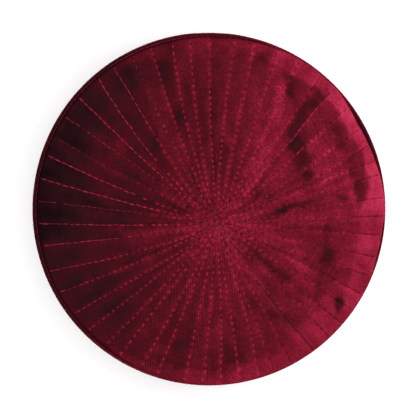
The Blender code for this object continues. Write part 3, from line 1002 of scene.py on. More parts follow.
def crown_places(mesh):
    """Each point's share of the way out and its place in the fan, with the columns drawn towards the rows."""
    turn = np.arctan2(numbers_of(mesh, "turn_sine"), numbers_of(mesh, "turn_cosine"))
    place = turn % FULL_TURN / FULL_TURN * LANDS
    place -= COLUMN_DRAW * np.sin(FULL_TURN * place) / FULL_TURN
    return numbers_of(mesh, "ring_radius") / CROWN_RADIUS, place % LANDS


def lay_out_crown(mesh):
    """Moves the turned crown's points onto the fan of rows, puffs the lands, and gives the points to hold."""
    points = points_of(mesh)
    turn = turn_of(points)
    put_numbers(mesh, "turn_sine", np.sin(turn))
    put_numbers(mesh, "turn_cosine", np.cos(turn))
    share, place = crown_places(mesh)
    upper = numbers_of(mesh, "velvet") > 0.5
    plan = on_crown(share, place)
    points[:, :2] = pushed(plan, numbers_of(mesh, "push"))
    give = np.clip((points[:, 2] - SEAT_HEIGHT) / (RIM_HEIGHT + SHOULDER_DROP), 0.0, 1.0)
    points[:, 2] -= give * dent_sink(plan)
    draws = random.Random(QUILT_SEED)
    fullness = np.array([1.0 - PUFF_SPREAD * draws.random() for _ in range(LANDS)])
    puff = np.abs(np.sin(np.pi * place)) * fullness[land_at(place)]
    rise = PUFF_HEIGHT * np.minimum(1.0, share / PUFF_FADE) * (puff - 1.0)
    points[:, 2] += np.where(upper, give * rise, 0.0)
    points[:, 2] += numbers_of(mesh, "lift") * (SHOULDER_LIFT + ROLL_LIFT * roll_at(plan))
    put_points(mesh, points)
    on_row = np.abs(place - np.round(place)) < HELD_COLUMN / LAND_COLUMNS
    return ~upper | (share > HELD_RIM) | (share < HELD_MIDDLE) | on_row


def close_middles(mesh):
    """Fills the two small round holes left in the middle of the crown, above and below."""
    shape = bmesh.new()
    shape.from_mesh(mesh)
    rims = [edge for edge in shape.edges if edge.is_boundary]
    filled = bmesh.ops.holes_fill(shape, edges=rims, sides=0)["faces"]
    poked = bmesh.ops.poke(shape, faces=filled)
    ring = shape.verts.layers.float["ring_radius"]
    for point in poked["verts"]:
        point[ring] = 0.0
    bmesh.ops.recalc_face_normals(shape, faces=shape.faces)
    shape.to_mesh(mesh)
    shape.free()
    mesh.shade_smooth()


def stitch_relief(mesh):
    """Presses the furrows of the rows and the puckers of their stitches into the velvet."""
    points = points_of(mesh)
    share, place = crown_places(mesh)
    out, count = along_half(np.round(place).astype(int) % LANDS, share)
    away = np.abs(place - np.round(place)) * LAND_TURNS[land_at(place)] * out
    outer = pile_zones(*(points[:, :2].T / CROWN_RADIUS), share)["outer"]
    at_rim = smooth_step(share, ROW_FADE, 1.0 - ROW_FADE)
    fade = smooth_step(share, 0.0, CROWD_SHARE) * (1.0 - RIM_CALM * at_rim) * (1.0 - SHOULDER_CALM * outer)
    furrow = FURROW_DEPTH * bell(away, FURROW_WIDTH)
    hole = 0.5 + 0.5 * np.cos(FULL_TURN * count)
    pucker = PUCKER_DEPTH * hole * bell(away, PUCKER_WIDTH)
    on_velvet = numbers_of(mesh, "velvet") > ON_VELVET
    sink = np.where(on_velvet, fade * (furrow + pucker), 0.0)
    put_points(mesh, points - sink[:, None] * vectors_of(mesh.vertex_normals, "vector"))


def map_rows(mesh):
    """The "rows" map: stitches counted along the nearest row, and millimetres away from it."""
    share, place = crown_places(mesh)
    points, faces = corners_of(mesh)
    face_place = (face_turns(mesh, place / LANDS * FULL_TURN) / FULL_TURN * LANDS)[faces]
    nearest = np.round(face_place).astype(int)
    offset = (place[points] - nearest + LANDS / 2) % LANDS - LANDS / 2
    out, count = along_half(nearest % LANDS, share[points])
    put_map(mesh, "rows", count, offset * LAND_TURNS[land_at(face_place)] * out * 1000)


def clouds(points, reach):
    """Soft seeded noise, from about -1 to 1, that varies over this distance."""
    return np.array([noise.noise(Vector(point) / reach) for point in points])


def marks_at(x, y):
    total = 0.0
    for mark in named(MARKS, MARK_COLUMNS):
        turn = math.radians(mark["turn_degrees"])
        along = (x - mark["x"]) * math.cos(turn) + (y - mark["y"]) * math.sin(turn)
        across = (y - mark["y"]) * math.cos(turn) - (x - mark["x"]) * math.sin(turn)
        spread = (along / mark["length"]) ** 2 + (across / mark["width"]) ** 2
        total = total + mark["lift"] * np.exp(-(spread ** mark["edge"]))
    return total


def pressed_at(share, degrees):
    total = 0.0
    for land in named(PRESSED, PRESSED_COLUMNS):
        across = (degrees - land["from_degrees"]) / (land["to_degrees"] - land["from_degrees"])
        inside = (across >= 0.0) & (across < 1.0)
        start = past(share, land["from_share"], PRESSED_SOFTNESS)
        stop = 1.0 - past(share, land["to_share"], PRESSED_SOFTNESS)
        lift = land["from_lift"] + (land["to_lift"] - land["from_lift"]) * across
        total = total + np.where(inside, lift * start * stop, 0.0)
    return total


def pile_zones(x, y, share):
    """How far a place on the crown lies in its left, its right, its right shoulder and its crowded middle."""
    right = smooth_step(x, *RIGHT_ZONE)
    front = smooth_step(-y, *FRONT_ZONE)
    return {
        "left": smooth_step(-x, LEFT_ZONE_START + LEFT_ZONE_RETREAT * front, LEFT_ZONE_WIDTH),
        "right": right,
        "outer": right * smooth_step(share, *OUTER_ZONE),
        "crowd": 1.0 - smooth_step(share, 0.0, CROWD_SHARE),
    }


def land_draws(draws, land):
    """A seeded number from -1 to 1 for each land, at these lands."""
    return np.array([draws.uniform(-1.0, 1.0) for _ in range(LANDS)])[land]


def crown_nap_and_light(mesh):
    """Charts how the pile lies, with painted light and shade, and how the thread shows in it, as numbers on
    the mesh's points.
    """
    points = points_of(mesh)
    share, place = crown_places(mesh)
    wander = 0.0
    for reach, strength in MARK_WANDERS:
        wander = wander + strength * np.column_stack((clouds(points, reach), clouds(points[:, ::-1], reach)))
    x, y = ((points[:, :2] + wander) / CROWN_RADIUS).T
    zones = pile_zones(x, y, share)
    # painted light, brighter towards the key lamp at +X, and the marks in the pile
    nap_and_light = NAP_MIDDLE + PAINTED_LIGHT_EAST * x + marks_at(x, y)

    border_wander = BORDER_WANDER * wander[:, 0] + BORDER_NOISE * clouds(points, BORDER_REACH)
    soft_share = share + border_wander / CROWN_RADIUS
    land = land_at(place)
    degrees = np.degrees(HALF_TURNS[land] + (place - np.floor(place)) * LAND_TURNS[land])
    draws = random.Random(QUILT_SEED)
    land_nap = land_draws(draws, land)
    outer_from = charted(OUTER, OUTER_COLUMNS, degrees, "from_share") + OUTER_STEP * land_draws(draws, land)
    outer_lift = charted(OUTER, OUTER_COLUMNS, degrees, "lift")
    nap_and_light += pressed_at(soft_share, degrees) + outer_lift * past(soft_share, outer_from, OUTER_SOFTNESS)
    nap_and_light += LAND_NAP * land_nap * smooth_step(share, *LAND_FADE)

    streaks = np.column_stack((place * STREAKS_A_LAND, share * STREAKS_A_RADIUS, np.zeros(len(place))))
    near = 1.0 + STREAK_GAIN * bell(share - STREAK_RING, STREAK_RING_WIDTH)
    nap_and_light += STREAK_NAP * near * clouds(streaks, 1.0) * smooth_step(share, 0.0, STREAK_FADE)
    clouded = sum(clouds(points, reach) for reach in CLOUD_REACHES)
    nap_and_light += CLOUD_NAP * (1.0 - LEFT_CALM * zones["left"]) * clouded
    put_numbers(mesh, "nap_and_light", nap_and_light)

    fade = (1.0 - zones["crowd"]) * (1.0 - smooth_step(share, ROW_FADE, NAP_FADE))
    faint = GLOW_FAINT_BACK + GLOW_FAINT_FRONT * smooth_step(-y, *GLOW_FRONT)
    low = smooth_step(-y, *RIB_FRONT)
    # The glow is a painted highlight beside the rows; the needle-hole and parting numbers paint shade in the
    # holes and along the furrows
    numbers = {
        "glow": (1.0 - GLOW_LOSS_LEFT * zones["left"]) * (1.0 - faint * zones["right"]) * fade,
        "hole_shade": (1.0 - HOLE_LOSS_LEFT * zones["left"]) * (1.0 - HOLE_LOSS_OUTER * zones["outer"]) * fade,
        "parting_and_shade": (PARTED_LEFT * zones["left"] + zones["outer"]) * fade,
        "crowd": zones["crowd"],
        "ribs": RIBS_LEAST + (1.0 - RIBS_LEAST) * low * (1.0 - smooth_step(x, *RIB_EAST)),
    }
    for name, values in numbers.items():
        put_numbers(mesh, name, values)


def map_round_cloth(mesh):
    """The "cloth" map of a piece that goes round the cap: metres round it from the back, and height."""
    points = points_of(mesh)
    turn = turn_of(points) - np.pi / 2
    corners, faces = corners_of(mesh)
    face_turn = face_turns(mesh, turn)[faces]
    offset = (turn[corners] - face_turn + np.pi) % FULL_TURN - np.pi
    put_map(mesh, "cloth", (face_turn + offset) * TOP_RADIUS, points[corners, 2])


def use_backing(mesh):
    """Gives the second material, the cotton, to the faces that lie on the backing."""
    on_backing = face_means(mesh, numbers_of(mesh, "velvet")) < ON_BACKING
    mesh.materials.append(cotton_backing())
    mesh.polygons.foreach_set("material_index", on_backing.astype(np.int32))


def make_crown():
    shape = turned(crown_profile(), CROWN_LAYERS, LANDS * LAND_COLUMNS, closed=False)
    crown = as_object("crown_quilt", shape)
    held = lay_out_crown(crown.data)
    settle(crown, held, **CROWN_PADDING)
    subdivided(crown)
    mesh = crown.data
    close_middles(mesh)
    stitch_relief(mesh)
    crown_nap_and_light(mesh)
    map_rows(mesh)
    corners, _ = corners_of(mesh)
    put_map(mesh, "cloth", *points_of(mesh)[corners, :2].T)
    mesh.materials.append(pile_velvet("quilted_velvet", quilted=True))
    use_backing(mesh)
    return crown


def linear(hex_colour):
    """Linear RGBA of an sRGB hex colour."""
    channels = [int(hex_colour[start : start + 2], 16) / 255 for start in (0, 2, 4)]
    return (*[c / 12.92 if c <= 0.04045 else ((c + 0.055) / 1.055) ** 2.4 for c in channels], 1.0)


def add(tree, kind, inputs=None, output=0, **settings):
    """Adds a node and gives the output asked for. Each input is a value or the output that feeds it."""
    made = tree.nodes.new("ShaderNode" + kind)
    for name, value in settings.items():
        setattr(made, name, value)
    for socket, value in (inputs or {}).items():
        if isinstance(value, bpy.types.NodeSocket):
            tree.links.new(value, made.inputs[socket])
        else:
            made.inputs[socket].default_value = value
    return made.outputs[output]


def new_material(name, looks):
    """A material with these values on its shader's own sockets, its node tree and its shader."""
    material = bpy.data.materials.new(name)
    material.use_nodes = True
    shader = material.node_tree.nodes["Principled BSDF"]
    for socket, value in looks.items():
        shader.inputs[socket].default_value = value
    return material, material.node_tree, shader


def row_effect(tree, place, nap_and_light):
    """The pile's number beside a row of stitches: a painted highlight between the needle holes, painted shade
    in them, and along the row a dark line of parted pile and painted shade.
    """
    rows = add(tree, "SeparateXYZ", {0: add(tree, "UVMap", uv_map="rows")}).node.outputs
    swing = add(tree, "Math", {0: rows["X"], 1: FULL_TURN}, operation="MULTIPLY")
    wave = add(tree, "Math", {0: swing}, operation="COSINE")
    swell = add(tree, "Math", {0: wave, 1: -GLOW_SWING, 2: GLOW_LEVEL}, operation="MULTIPLY_ADD")
    uneven = add(tree, "TexNoise", {"Vector": place, "Scale": 1 / UNEVEN_SIZE, "Detail": 1.0})
    least, most = UNEVEN_NOISE
    patchy = {"Value": uneven, "From Min": least, "From Max": most, "To Max": UNEVEN_GAIN}
    share = add(tree, "MapRange", patchy)
    lit = add(tree, "Math", {0: swell, 1: share}, operation="MULTIPLY")
    peak = add(tree, "Math", {0: wave, 1: 0.0}, operation="MAXIMUM")
    hole = add(tree, "Math", {0: peak, 1: HOLE_SHARPNESS}, operation="POWER")
    effects = (
        ("glow", GLOW_WIDTH, lit, GLOW_NAP),
        ("hole_shade", HOLE_WIDTH, hole, HOLE_SHADE),
        ("parting_and_shade", LINE_WIDTH, 1.0, LINE_PARTING_AND_SHADE),
    )
    for attribute, width, rhythm, lift in effects:
        scaled = add(tree, "Math", {0: rows["Y"], 1: 1 / width}, operation="MULTIPLY")
        square = add(tree, "Math", {0: scaled, 1: scaled}, operation="MULTIPLY")
        fall = add(tree, "Math", {0: math.exp(-1), 1: square}, operation="POWER")
        strength = add(tree, "Attribute", output="Fac", attribute_name=attribute)
        part = add(tree, "Math", {0: fall, 1: strength}, operation="MULTIPLY")
        part = add(tree, "Math", {0: part, 1: rhythm}, operation="MULTIPLY")
        nap_and_light = add(tree, "Math", {0: part, 1: lift, 2: nap_and_light}, operation="MULTIPLY_ADD")
    return nap_and_light


def crowded_middle(tree, place, grain, nap_and_light):
    """Painted shade in the needle holes, and roughened pile, where the rows crowd together at the crossing.
    """
    cells = add(tree, "TexVoronoi", {"Vector": place, "Scale": 1 / NEEDLE_SPACING}, "Distance")
    start, end = NEEDLE_DOT
    edge = {"Value": cells, "From Min": start, "From Max": end, "To Min": 1.0, "To Max": 0.0}
    crowd = add(tree, "Attribute", output="Fac", attribute_name="crowd")
    part = add(tree, "Math", {0: add(tree, "MapRange", edge), 1: crowd}, operation="MULTIPLY")
    nap_and_light = add(tree, "Math", {0: part, 1: NEEDLE_HOLE_SHADE, 2: nap_and_light}, operation="MULTIPLY_ADD")
    rough = add(tree, "Math", {0: grain, 1: ROUGH_NAP, 2: -ROUGH_NAP / 2}, operation="MULTIPLY_ADD")
    return add(tree, "Math", {0: rough, 1: crowd, 2: nap_and_light}, operation="MULTIPLY_ADD")


def pile_velvet(name, quilted=False):
    """Silk-look polyester velvet: a cut pile that is bright where it stands and nearly black where it lies,
    with painted light and shade in its number.

    Its tufts and their grain are drawn coarser than the real 0.3 mm, and so are the ground weave's ribs. Pile
    that is pressed flat loses its grain.
    """
    looks = {
        "Roughness": 1.0,
        "Specular IOR Level": 0.0,
        "Sheen Weight": 0.12,
        "Sheen Roughness": 0.4,
        "Sheen Tint": linear("c02045"),
    }
    material, tree, shader = new_material(name, looks)
    place = add(tree, "TexCoord", output="Object")
    nap_and_light = add(tree, "Attribute", output="Fac", attribute_name="nap_and_light")
    tufts = add(tree, "TexNoise", {"Vector": place, "Scale": 1 / TUFT_SIZE, "Detail": 2.0})
    grain = add(tree, "TexNoise", {"Vector": place, "Scale": 1 / GRAIN_SIZE, "Detail": 1.0})
    cloth = add(tree, "UVMap", uv_map="cloth")
    drawn = add(tree, "Mapping", {"Vector": cloth, "Scale": (1.0, RIB_WIDTH / RIB_LENGTH, 1.0)})
    bands = {
        "Vector": drawn,
        "Scale": WAVE_PERIOD / RIB_WIDTH,
        "Distortion": 7.0,
        "Detail": 1.0,
        "Detail Scale": 0.6,
    }
    waves = add(tree, "TexWave", bands, "Fac", bands_direction="X")
    rib_strength = add(tree, "Attribute", output="Fac", attribute_name="ribs")
    ribs = add(tree, "Math", {0: waves, 1: -0.5}, operation="ADD")
    ribs = add(tree, "Math", {0: ribs, 1: rib_strength}, operation="MULTIPLY")
    standing = {0: nap_and_light, 1: COARSE_RATE, 2: -COARSE_START}
    coarse = add(tree, "Math", standing, operation="MULTIPLY_ADD", use_clamp=True)
    parting_and_shade = add(tree, "Attribute", output="Fac", attribute_name="parting_and_shade")
    calm = add(tree, "Math", {0: parting_and_shade, 1: -PARTED_CALM, 2: 1.0}, operation="MULTIPLY_ADD")
    coarse = add(tree, "Math", {0: coarse, 1: calm}, operation="MULTIPLY")
    for part, strength, middle in ((tufts, TUFT_NAP, 0.5), (grain, GRAIN_NAP, 0.5), (ribs, RIB_NAP, 0.0)):
        lift = add(tree, "Math", {0: part, 1: strength, 2: -strength * middle}, operation="MULTIPLY_ADD")
        nap_and_light = add(tree, "Math", {0: lift, 1: coarse, 2: nap_and_light}, operation="MULTIPLY_ADD")
    if quilted:
        nap_and_light = crowded_middle(tree, place, grain, row_effect(tree, place, nap_and_light))
    colour = add(tree, "ValToRGB", {"Fac": nap_and_light})
    stops = colour.node.color_ramp.elements
    while len(stops) < len(NAP_STOPS):
        stops.new(0.5)
    for stop, (position, shade) in zip(stops, NAP_STOPS):
        stop.position = position
        stop.color = linear(shade)
    tree.links.new(colour, shader.inputs["Base Color"])
    bump = add(tree, "Bump", {"Height": tufts, "Strength": 0.4, "Distance": 0.0002})
    tree.links.new(bump, shader.inputs["Normal"])
    return material


def cotton_backing():
    """Plain-woven cotton under the wadding: matt and darker than the velvet.

    Its 0.5 mm threads are drawn at 0.9 mm, so that they show.
    """
    looks = {"Roughness": 0.95, "Specular IOR Level": 0.15}
    material, tree, shader = new_material("cotton_backing", looks)
    cloth = add(tree, "UVMap", uv_map="cloth")
    weave = add(tree, "TexChecker", {"Vector": cloth, "Scale": 1 / BACKING_THREAD}, "Fac")
    slubs = add(tree, "TexNoise", {"Vector": cloth, "Scale": 1 / SLUB_SIZE, "Detail": 3.0})
    mixed = add(tree, "Math", {0: weave, 1: 0.5, 2: slubs}, operation="MULTIPLY_ADD")
    colour = add(tree, "MixRGB", {"Fac": mixed, "Color1": linear("2c070c"), "Color2": linear("52121d")})
    tree.links.new(colour, shader.inputs["Base Color"])
    bump = add(tree, "Bump", {"Height": weave, "Strength": 0.3, "Distance": 0.0001})
    tree.links.new(bump, shader.inputs["Normal"])
    return material


def rayon_thread(name, colour, shade):
    """Machine thread of twisted rayon, with a faint shine along each stitch."""
    material, tree, shader = new_material(name, {"Roughness": 0.65, "Specular IOR Level": 0.04})
    tone = add(tree, "Attribute", output="Fac", attribute_name="tone")
    mixed = add(tree, "MixRGB", {"Fac": tone, "Color1": linear(shade), "Color2": linear(colour)})
    tree.links.new(mixed, shader.inputs["Base Color"])
    return material


def stitch_shape():
    """One stitch as a unit: a bead of thread along X, thick in the middle, its ends down in the cloth."""
    shape = bmesh.new()
    bmesh.ops.create_uvsphere(shape, u_segments=6, v_segments=4, radius=0.5)
    bmesh.ops.rotate(shape, verts=shape.verts, matrix=Matrix.Rotation(math.pi / 2, 3, "Y"))
    points = np.array([point.co[:] for point in shape.verts])
    faces = [[point.index for point in face.verts] for face in shape.faces]
    shape.free()
    return points, faces


def sew(name, stitches, material):
    """One joined mesh of stitches, each given by its middle, heading, normal, size and tone.

    A stitch is palest in its middle, and its ends are darkened with painted shade where they go down into the
    pile.
    """
    unit, faces = stitch_shape()
    # Painted shade at each stitch's ends
    fades = 1.0 - END_SHADE * (2.0 * unit[:, 0]) ** 2
    points = []
    joined = []
    tones = []
    for count, (middle, heading, normal, size, tone) in enumerate(stitches):
        side = normal.cross(heading).normalized()
        up = heading.cross(side).normalized()
        axes = np.array((heading * size[0], side * size[1], up * size[2]))
        points.append(np.array(middle) + unit @ axes)
        joined += [[index + count * len(unit) for index in face] for face in faces]
        tones += (tone * fades).tolist()
    mesh = bpy.data.meshes.new(name)
    mesh.from_pydata(np.concatenate(points).tolist(), [], joined)
    mesh.shade_smooth()
    put_numbers(mesh, "tone", tones)
    mesh.materials.append(material)
    return placed(name, mesh)


def cloth_tree(thing):
    """The cloth's surface, for laying thread on it."""
    mesh = thing.data
    faces = [face.vertices[:] for face in mesh.polygons]
    return BVHTree.FromPolygons([point.co for point in mesh.vertices], faces)


def cloth_at(tree, plan, below=False):
    """Point and normal of the cloth at a plan point, on its upper side or on its underside."""
    side = -1.0 if below else 1.0
    point, normal, _, _ = tree.ray_cast(Vector((plan[0], plan[1], side)), Vector((0.0, 0.0, -side)))
    return point, normal


def hidden_at(degrees, share):
    for stretch in named(HIDDEN, HIDDEN_COLUMNS):
        if stretch["degrees"] == degrees and stretch["from_share"] <= share < stretch["to_share"]:
            return stretch["hidden"]
    return 0.0


def stitch_look(place, share, degrees, gap, draws):
    """Size, tone and sinking of a crown stitch between two needle holes, from where it lies in the pile."""
    zones = pile_zones(place.x / CROWN_RADIUS, place.y / CROWN_RADIUS, share)
    change = {
        look: sum(float(zones[zone]) * weight for zone, weight in weights.items())
        for look, weights in ZONE_CHANGES.items()
    }
    tone = STITCH_TONE + change["tone"] + draws.uniform(-STITCH_TONE_SPREAD, STITCH_TONE_SPREAD)
    evenness = draws.uniform(1.0 - STITCH_WIDTH_SPREAD, 1.0 + STITCH_WIDTH_SPREAD)
    width = (STITCH_WIDTH + change["width"]) * evenness
    length = gap * (draws.uniform(*STITCH_SHARES) + change["length"])
    buried = draws.random() < BURIED_CHANCE + change["buried"]
    hidden = hidden_at(degrees, share)
    if hidden < 0.0:
        return (BARE_LENGTH * gap, BARE_WIDTH, STITCH_THICKNESS), tone + BARE_TONE, 0.0
    sink = change["sink"] + HIDDEN_SINK * hidden + BURIED_SINK * buried
    return (length, width, STITCH_THICKNESS), max(0.0, tone * (1.0 - HIDDEN_LOSS * hidden)), sink


def row_stitches(tree, row, pace, draws, below=False):
    """Stitches of one row, from end to end, lying on the cloth or, for the bobbin thread, below it."""
    pitch, phase = pace
    knots = row_knots(row)
    reaches = [np.linalg.norm(knots[index] - CROSSING) for index in (0, 3)]
    first = -reaches[0] * ROW_END
    last = reaches[1] * ROW_END if row["to_degrees"] is not None else -HALF_ROW_END * reaches[0]
    numbers = range(math.ceil(first / pitch - phase), math.floor(last / pitch - phase) + 1)
    holes = [first] + [(number + phase) * pitch for number in numbers] + [last]
    stitches = []
    for start, stop in zip(holes, holes[1:]):
        ends = []
        for hole in (start, stop):
            step = hole / (reaches[0] if hole < 0 else reaches[1])
            plan = along_row(knots, np.float64(step))
            if not below:
                plan = pushed(plan, shoulder_part(abs(step)))
            ends.append(cloth_at(tree, plan, below)[0])
        gap = (ends[1] - ends[0]).length
        if gap < SHORTEST_GAP * pitch:
            continue
        heading = (ends[1] - ends[0]).normalized()
        middle, normal = cloth_at(tree, (ends[0] + ends[1]) / 2, below)
        aside = normal.cross(heading) * draws.uniform(-STITCH_WANDER, STITCH_WANDER)
        if below:
            size = (BOBBIN_LENGTH * gap, *BOBBIN_SECTION)
            stitches.append((middle + aside, heading, normal, size, draws.uniform(*BOBBIN_TONES)))
            continue
        degrees = row["from_degrees"] if step < 0 else row["to_degrees"]
        size, tone, sink = stitch_look(middle, abs(step), degrees, gap, draws)
        stitches.append((middle + aside - normal * sink, heading, normal, size, tone))
    return stitches


def marker_stitch(stitch, draws):
    """A stitch of the dark thread: pale and low near the crossing, dark and tight past it to the front."""
    middle, heading, normal, *_ = stitch
    away = np.hypot(middle.x - CROSSING[0], middle.y - CROSSING[1])
    far = smooth_step(away, MARKER_FADE, MARKER_FADE)
    in_front = middle.y < CROSSING[1]
    dull = 1.0 - MARKER_FADE_LOSS * far if in_front else MARKER_BACK_TONE
    size = MARKER_TIGHT_SIZE if in_front and far > 0.5 else MARKER_SIZE
    return middle + normal * MARKER_LIFT * far, heading, normal, size, dull * draws.uniform(*MARKER_TONES)


def make_row_stitches(crown):
    tree = cloth_tree(crown)
    draws = random.Random(QUILT_SEED)
    burgundy = []
    marker = []
    for index, (row, pace) in enumerate(zip(QUILT_ROWS, PACES)):
        stitches = row_stitches(tree, row, pace, draws)
        if index == MARKER_ROW:
            marker = [marker_stitch(stitch, draws) for stitch in stitches]
        else:
            burgundy += stitches
    thread = rayon_thread("burgundy_thread", "9c1e38", "4a0c18")
    dark = rayon_thread("marker_thread", "54605e", "200c12")
    return sew("crown_stitches", burgundy, thread), sew("marker_stitches", marker, dark)


def make_backing_stitches(crown):
    """The bobbin thread of the rows, on the crown's backing."""
    tree = cloth_tree(crown)
    draws = random.Random(QUILT_SEED)
    stitches = []
    for row, pace in zip(QUILT_ROWS, PACES):
        stitches += row_stitches(tree, row, pace, draws, below=True)
    return sew("backing_stitches", stitches, rayon_thread("bobbin_thread", "8a2036", "3a0a12"))


def round_steps(radius):
    """The stitches of a row that goes round the cap, by their directions: outwards and onwards."""
    count = round(FULL_TURN * radius / BAND_STITCH)
    turns = [FULL_TURN * (number + 0.5) / count for number in range(count)]
    return [
        (turn, Vector((math.cos(turn), math.sin(turn), 0.0)), Vector((-math.sin(turn), math.cos(turn), 0.0)))
        for turn in turns
    ]


def make_edge_stitches():
    """The row of stitches that holds the crown's edge down, in the ditch at the foot of the welt."""
    draws = random.Random(QUILT_SEED)
    length, width, thickness = EDGE_STITCHES["size"]
    size = (BAND_STITCH * length, width, thickness)
    up = Vector((0.0, 0.0, 1.0))
    stitches = []
    for turn, outward, heading in round_steps(EDGE_ROW_RADIUS):
        middle = outward * EDGE_ROW_RADIUS + up * (WELT_LOW.z + EDGE_STITCHES["height"])
        tone = charted(EDGE_TONES, EDGE_TONE_COLUMNS, math.degrees(turn), "tone")
        stitches.append((middle, heading, up, size, float(tone) * draws.uniform(*EDGE_STITCHES["shown"])))
    return sew("edge_stitches", stitches, rayon_thread("edge_thread", "8c1c36", "30080f"))


def make_welt():
    """The rolled ridge of the seam, with its ledge inside it and a little unevenness along its length."""
    middle = TOP_RADIUS - WELT_RIDGE
    foot = WELT_LOW.z
    crest = WELT_TOP - WELT_RIDGE - foot
    ledge = CROWN_RADIUS + WELT_GAP
    profile = [
        (middle + 0.6 * WELT_RIDGE, foot, 1.0),
        (middle + WELT_RIDGE, foot + 0.4 * crest, 1.0),
    ]
    for step in range(WELT_STEPS + 1):
        angle = math.pi * step / WELT_STEPS
        height = foot + crest + WELT_RIDGE * math.sin(angle)
        profile.append((middle + WELT_RIDGE * math.cos(angle), height, 1.0))
    profile.append((middle - WELT_RIDGE, foot + 1.1 * WELT_FOOT, 1.0))
    profile.append((ledge, foot + WELT_FOOT, 1.0))
    profile.append((ledge, foot, 1.0))
    welt = as_object("welt_roll", turned(profile, ("velvet",), WELT_COLUMNS, closed=True))
    subdivided(welt)
    mesh = welt.data
    points = points_of(mesh)
    radius = np.hypot(points[:, 0], points[:, 1])
    rolled = roll_at(points[:, :2])
    high = np.clip((points[:, 2] - foot) / (WELT_TOP - foot), 0.0, 1.0)
    uneven = WELT_UNEVEN * (1.0 + clouds(points, WELT_UNEVEN_REACH))
    points[:, 2] -= high * (WELT_ROLL_SINK * rolled + uneven)
    put_points(mesh, points)
    # painted highlight along the welt's outer crest
    lip_highlight = bell(radius - TOP_RADIUS + WELT_LIP_INSET, WELT_LIP_WIDTH) * high
    # crushed pile and painted shade round the welt, with the painted highlight on its lip
    nap_and_light = charted(WELT_NAPS_AND_SHADE, WELT_NAP_AND_SHADE_COLUMNS, np.degrees(turn_of(points)), "nap_and_light")
    put_numbers(mesh, "nap_and_light", nap_and_light + WELT_LIP_HIGHLIGHT * lip_highlight + WELT_CLOUD_NAP * clouds(points, WELT_CLOUD_REACH))
    put_numbers(mesh, "ribs", np.zeros(len(points)))
    map_round_cloth(mesh)
    mesh.materials.append(pile_velvet("welt_velvet"))
    return welt


def band_outside(height):
    share = np.clip(height / BAND_TOP, 0.0, 1.0)
    slope = HEM_RADIUS + (TOP_RADIUS - HEM_RADIUS) * share
    row = HEM_ROW_DEPTH * bell(height - HEM_ROW_HEIGHT, HEM_ROW_WIDTH)
    return slope + BAND_BULGE * np.sin(np.pi * share) - row


def band_profile():
    """The band's section: up its outside, over its turned-in top and down its inside to the folded hem."""
    points = [(HEM_RADIUS - BAND_EDGE_ROUND, 0.0, 1.0)]
    tallest = BAND_TOP - BAND_TOP_ROUND
    for step in range(BAND_RINGS + 1):
        height = BAND_EDGE_ROUND + (tallest - BAND_EDGE_ROUND) * step / BAND_RINGS
        points.append((float(band_outside(height)), height, 1.0))
    points.append((TOP_RADIUS - BAND_TOP_ROUND, BAND_TOP, 1.0))
    points.append((RIM_INSIDE, BAND_TOP, 0.0))
    points.append((RIM_INSIDE, BAND_TOP - SEAT_TURN_THICKNESS, 0.0))
    inside = tallest - SEAT_TURN_THICKNESS
    for step in range(BAND_INSIDE_RINGS + 1):
        height = inside + (HEM_TURN_HEIGHT + HEM_TURN_STEP - inside) * step / BAND_INSIDE_RINGS
        points.append((float(band_outside(height)) - BAND_WALL, height, 0.0))
    for height in (HEM_TURN_HEIGHT, HEM_TURN_HEIGHT / 2, BAND_EDGE_ROUND):
        points.append((float(band_outside(height)) - BAND_WALL - HEM_TURN_THICKNESS, height, 1.0))
    points.append((HEM_RADIUS - BAND_WALL, 0.0, 1.0))
    return points


def on_outside(points):
    """Which points lie on the outer side of the band's wall, and their distances from the axis."""
    radius = np.hypot(points[:, 0], points[:, 1])
    return radius > band_outside(points[:, 2]) - BAND_WALL / 2, radius


def make_band():
    band = as_object("band_wall", turned(band_profile(), ("velvet",), BAND_COLUMNS, closed=True))
    points = points_of(band.data)
    outside, _ = on_outside(points)
    at_edge = (points[:, 2] < HELD_HEM) | (points[:, 2] > HELD_TOP)
    at_back = (np.abs(points[:, 0]) < HELD_SEAM) & (points[:, 1] > 0)
    settle(band, ~outside | at_edge | at_back, **BAND_PADDING)
    subdivided(band)
    mesh = band.data
    points = points_of(mesh)
    outside, radius = on_outside(points)
    seam = np.where(points[:, 1] > 0, bell(points[:, 0], BACK_SEAM_WIDTH), 0.0)
    points[:, :2] *= (1.0 - np.where(outside, BACK_SEAM_DEPTH * seam, 0.0) / radius)[:, None]
    put_points(mesh, points)
    # painted light, brighter towards the key lamp at +X
    nap_and_light = BAND_NAP + BAND_PAINTED_LIGHT_EAST * np.cos(turn_of(points))
    for reach, upwards, strength in BAND_CLOUDS:
        nap_and_light += strength * clouds(points * (1.0, 1.0, upwards), reach)
    row = bell(points[:, 2] - HEM_ROW_HEIGHT, BAND_ROW_WIDTH)
    put_numbers(mesh, "nap_and_light", nap_and_light - BAND_ROW_NAP * row - BAND_SEAM_NAP * seam)
    put_numbers(mesh, "ribs", np.full(len(points), BAND_RIBS))
    map_round_cloth(mesh)
    mesh.materials.append(pile_velvet("band_velvet"))
    use_backing(mesh)
    return band


def make_hem_stitches(band):
    """The row that holds the folded hem, sewn through the band near its foot."""
    tree = cloth_tree(band)
    draws = random.Random(QUILT_SEED)
    length, width, thickness = HEM_STITCHES["size"]
    size = (BAND_STITCH * length, width, thickness)
    stitches = []
    for _, outward, heading in round_steps(HEM_RADIUS):
        start = outward * 2 * HEM_RADIUS + Vector((0.0, 0.0, HEM_ROW_HEIGHT))
        middle, normal, _, _ = tree.ray_cast(start, -outward)
        tone = draws.uniform(*HEM_STITCHES["shown"])
        stitches.append((middle + normal * HEM_STITCHES["lift"], heading, normal, size, tone))
    return sew("hem_stitches", stitches, rayon_thread("hem_thread", "a8243f", "30080f"))


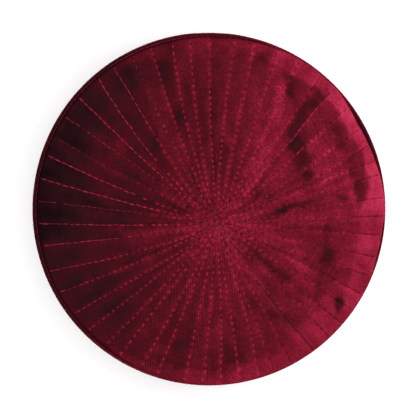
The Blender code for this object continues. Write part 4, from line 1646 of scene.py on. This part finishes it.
def make_stage():
    """A plain white floor, an even white surround and one soft lamp, low at the right."""
    shape = bmesh.new()
    bmesh.ops.create_grid(shape, x_segments=1, y_segments=1, size=FLOOR_SIDE / 2)
    floor = as_object("floor", shape)
    floor.location.z = -FLOOR_GAP
    looks = {"Base Color": linear("ffffff"), "Roughness": 1.0, "Specular IOR Level": 0.0}
    floor.data.materials.append(new_material("floor_paper", looks)[0])
    world = bpy.data.worlds.new("surround")
    world.use_nodes = True
    background = world.node_tree.nodes["Background"]
    background.inputs["Color"].default_value = (1.0, 1.0, 1.0, 1.0)
    background.inputs["Strength"].default_value = SURROUND_LIGHT
    bpy.context.scene.world = world
    light = bpy.data.lights.new("key", "AREA")
    light.shape = "SQUARE"
    light.size = KEY_SIDE
    light.energy = KEY_WATTS
    lamp = placed("key", light)
    lamp.location = KEY_PLACE
    lamp.rotation_euler = (Vector(KEY_AIM) - Vector(KEY_PLACE)).to_track_quat("-Z", "Y").to_euler()
    lamp.visible_camera = False


def make_camera():
    """Straight above the cap, so that its outline fills the photograph's circle."""
    view = bpy.data.cameras.new("camera")
    distance = CAMERA_HEIGHT - WELT_TOP
    view.sensor_width = SENSOR_WIDTH
    view.lens = SENSOR_WIDTH * OUTLINE_RADIUS / PHOTO_SIDE * distance / TOP_RADIUS
    view.clip_end = CLIP_END
    camera = placed("camera", view)
    metres = TOP_RADIUS / OUTLINE_RADIUS
    middle = PHOTO_SIDE / 2
    camera.location = ((middle - OUTLINE_X) * metres, (OUTLINE_Y - middle) * metres, CAMERA_HEIGHT)
    bpy.context.scene.camera = camera


bpy.context.scene.view_settings.view_transform = "Standard"
make_camera()
make_stage()
crown = make_crown()
crown_stitches, marker_stitches = make_row_stitches(crown)
backing_stitches = make_backing_stitches(crown)
welt = make_welt()
edge_stitches = make_edge_stitches()
band = make_band()
hem_stitches = make_hem_stitches(band)
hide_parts("crown")
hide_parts("edge_welt")
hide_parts("side_band")
for piece, slot in (
    (crown, "crown_velvet"),
    (crown_stitches, "crown_velvet"),
    (marker_stitches, "crown_velvet"),
    (backing_stitches, "crown_velvet"),
    (welt, "welt_velvet"),
    (edge_stitches, "welt_velvet"),
    (band, "band_velvet"),
    (hem_stitches, "band_velvet"),
):
    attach(piece, "root")
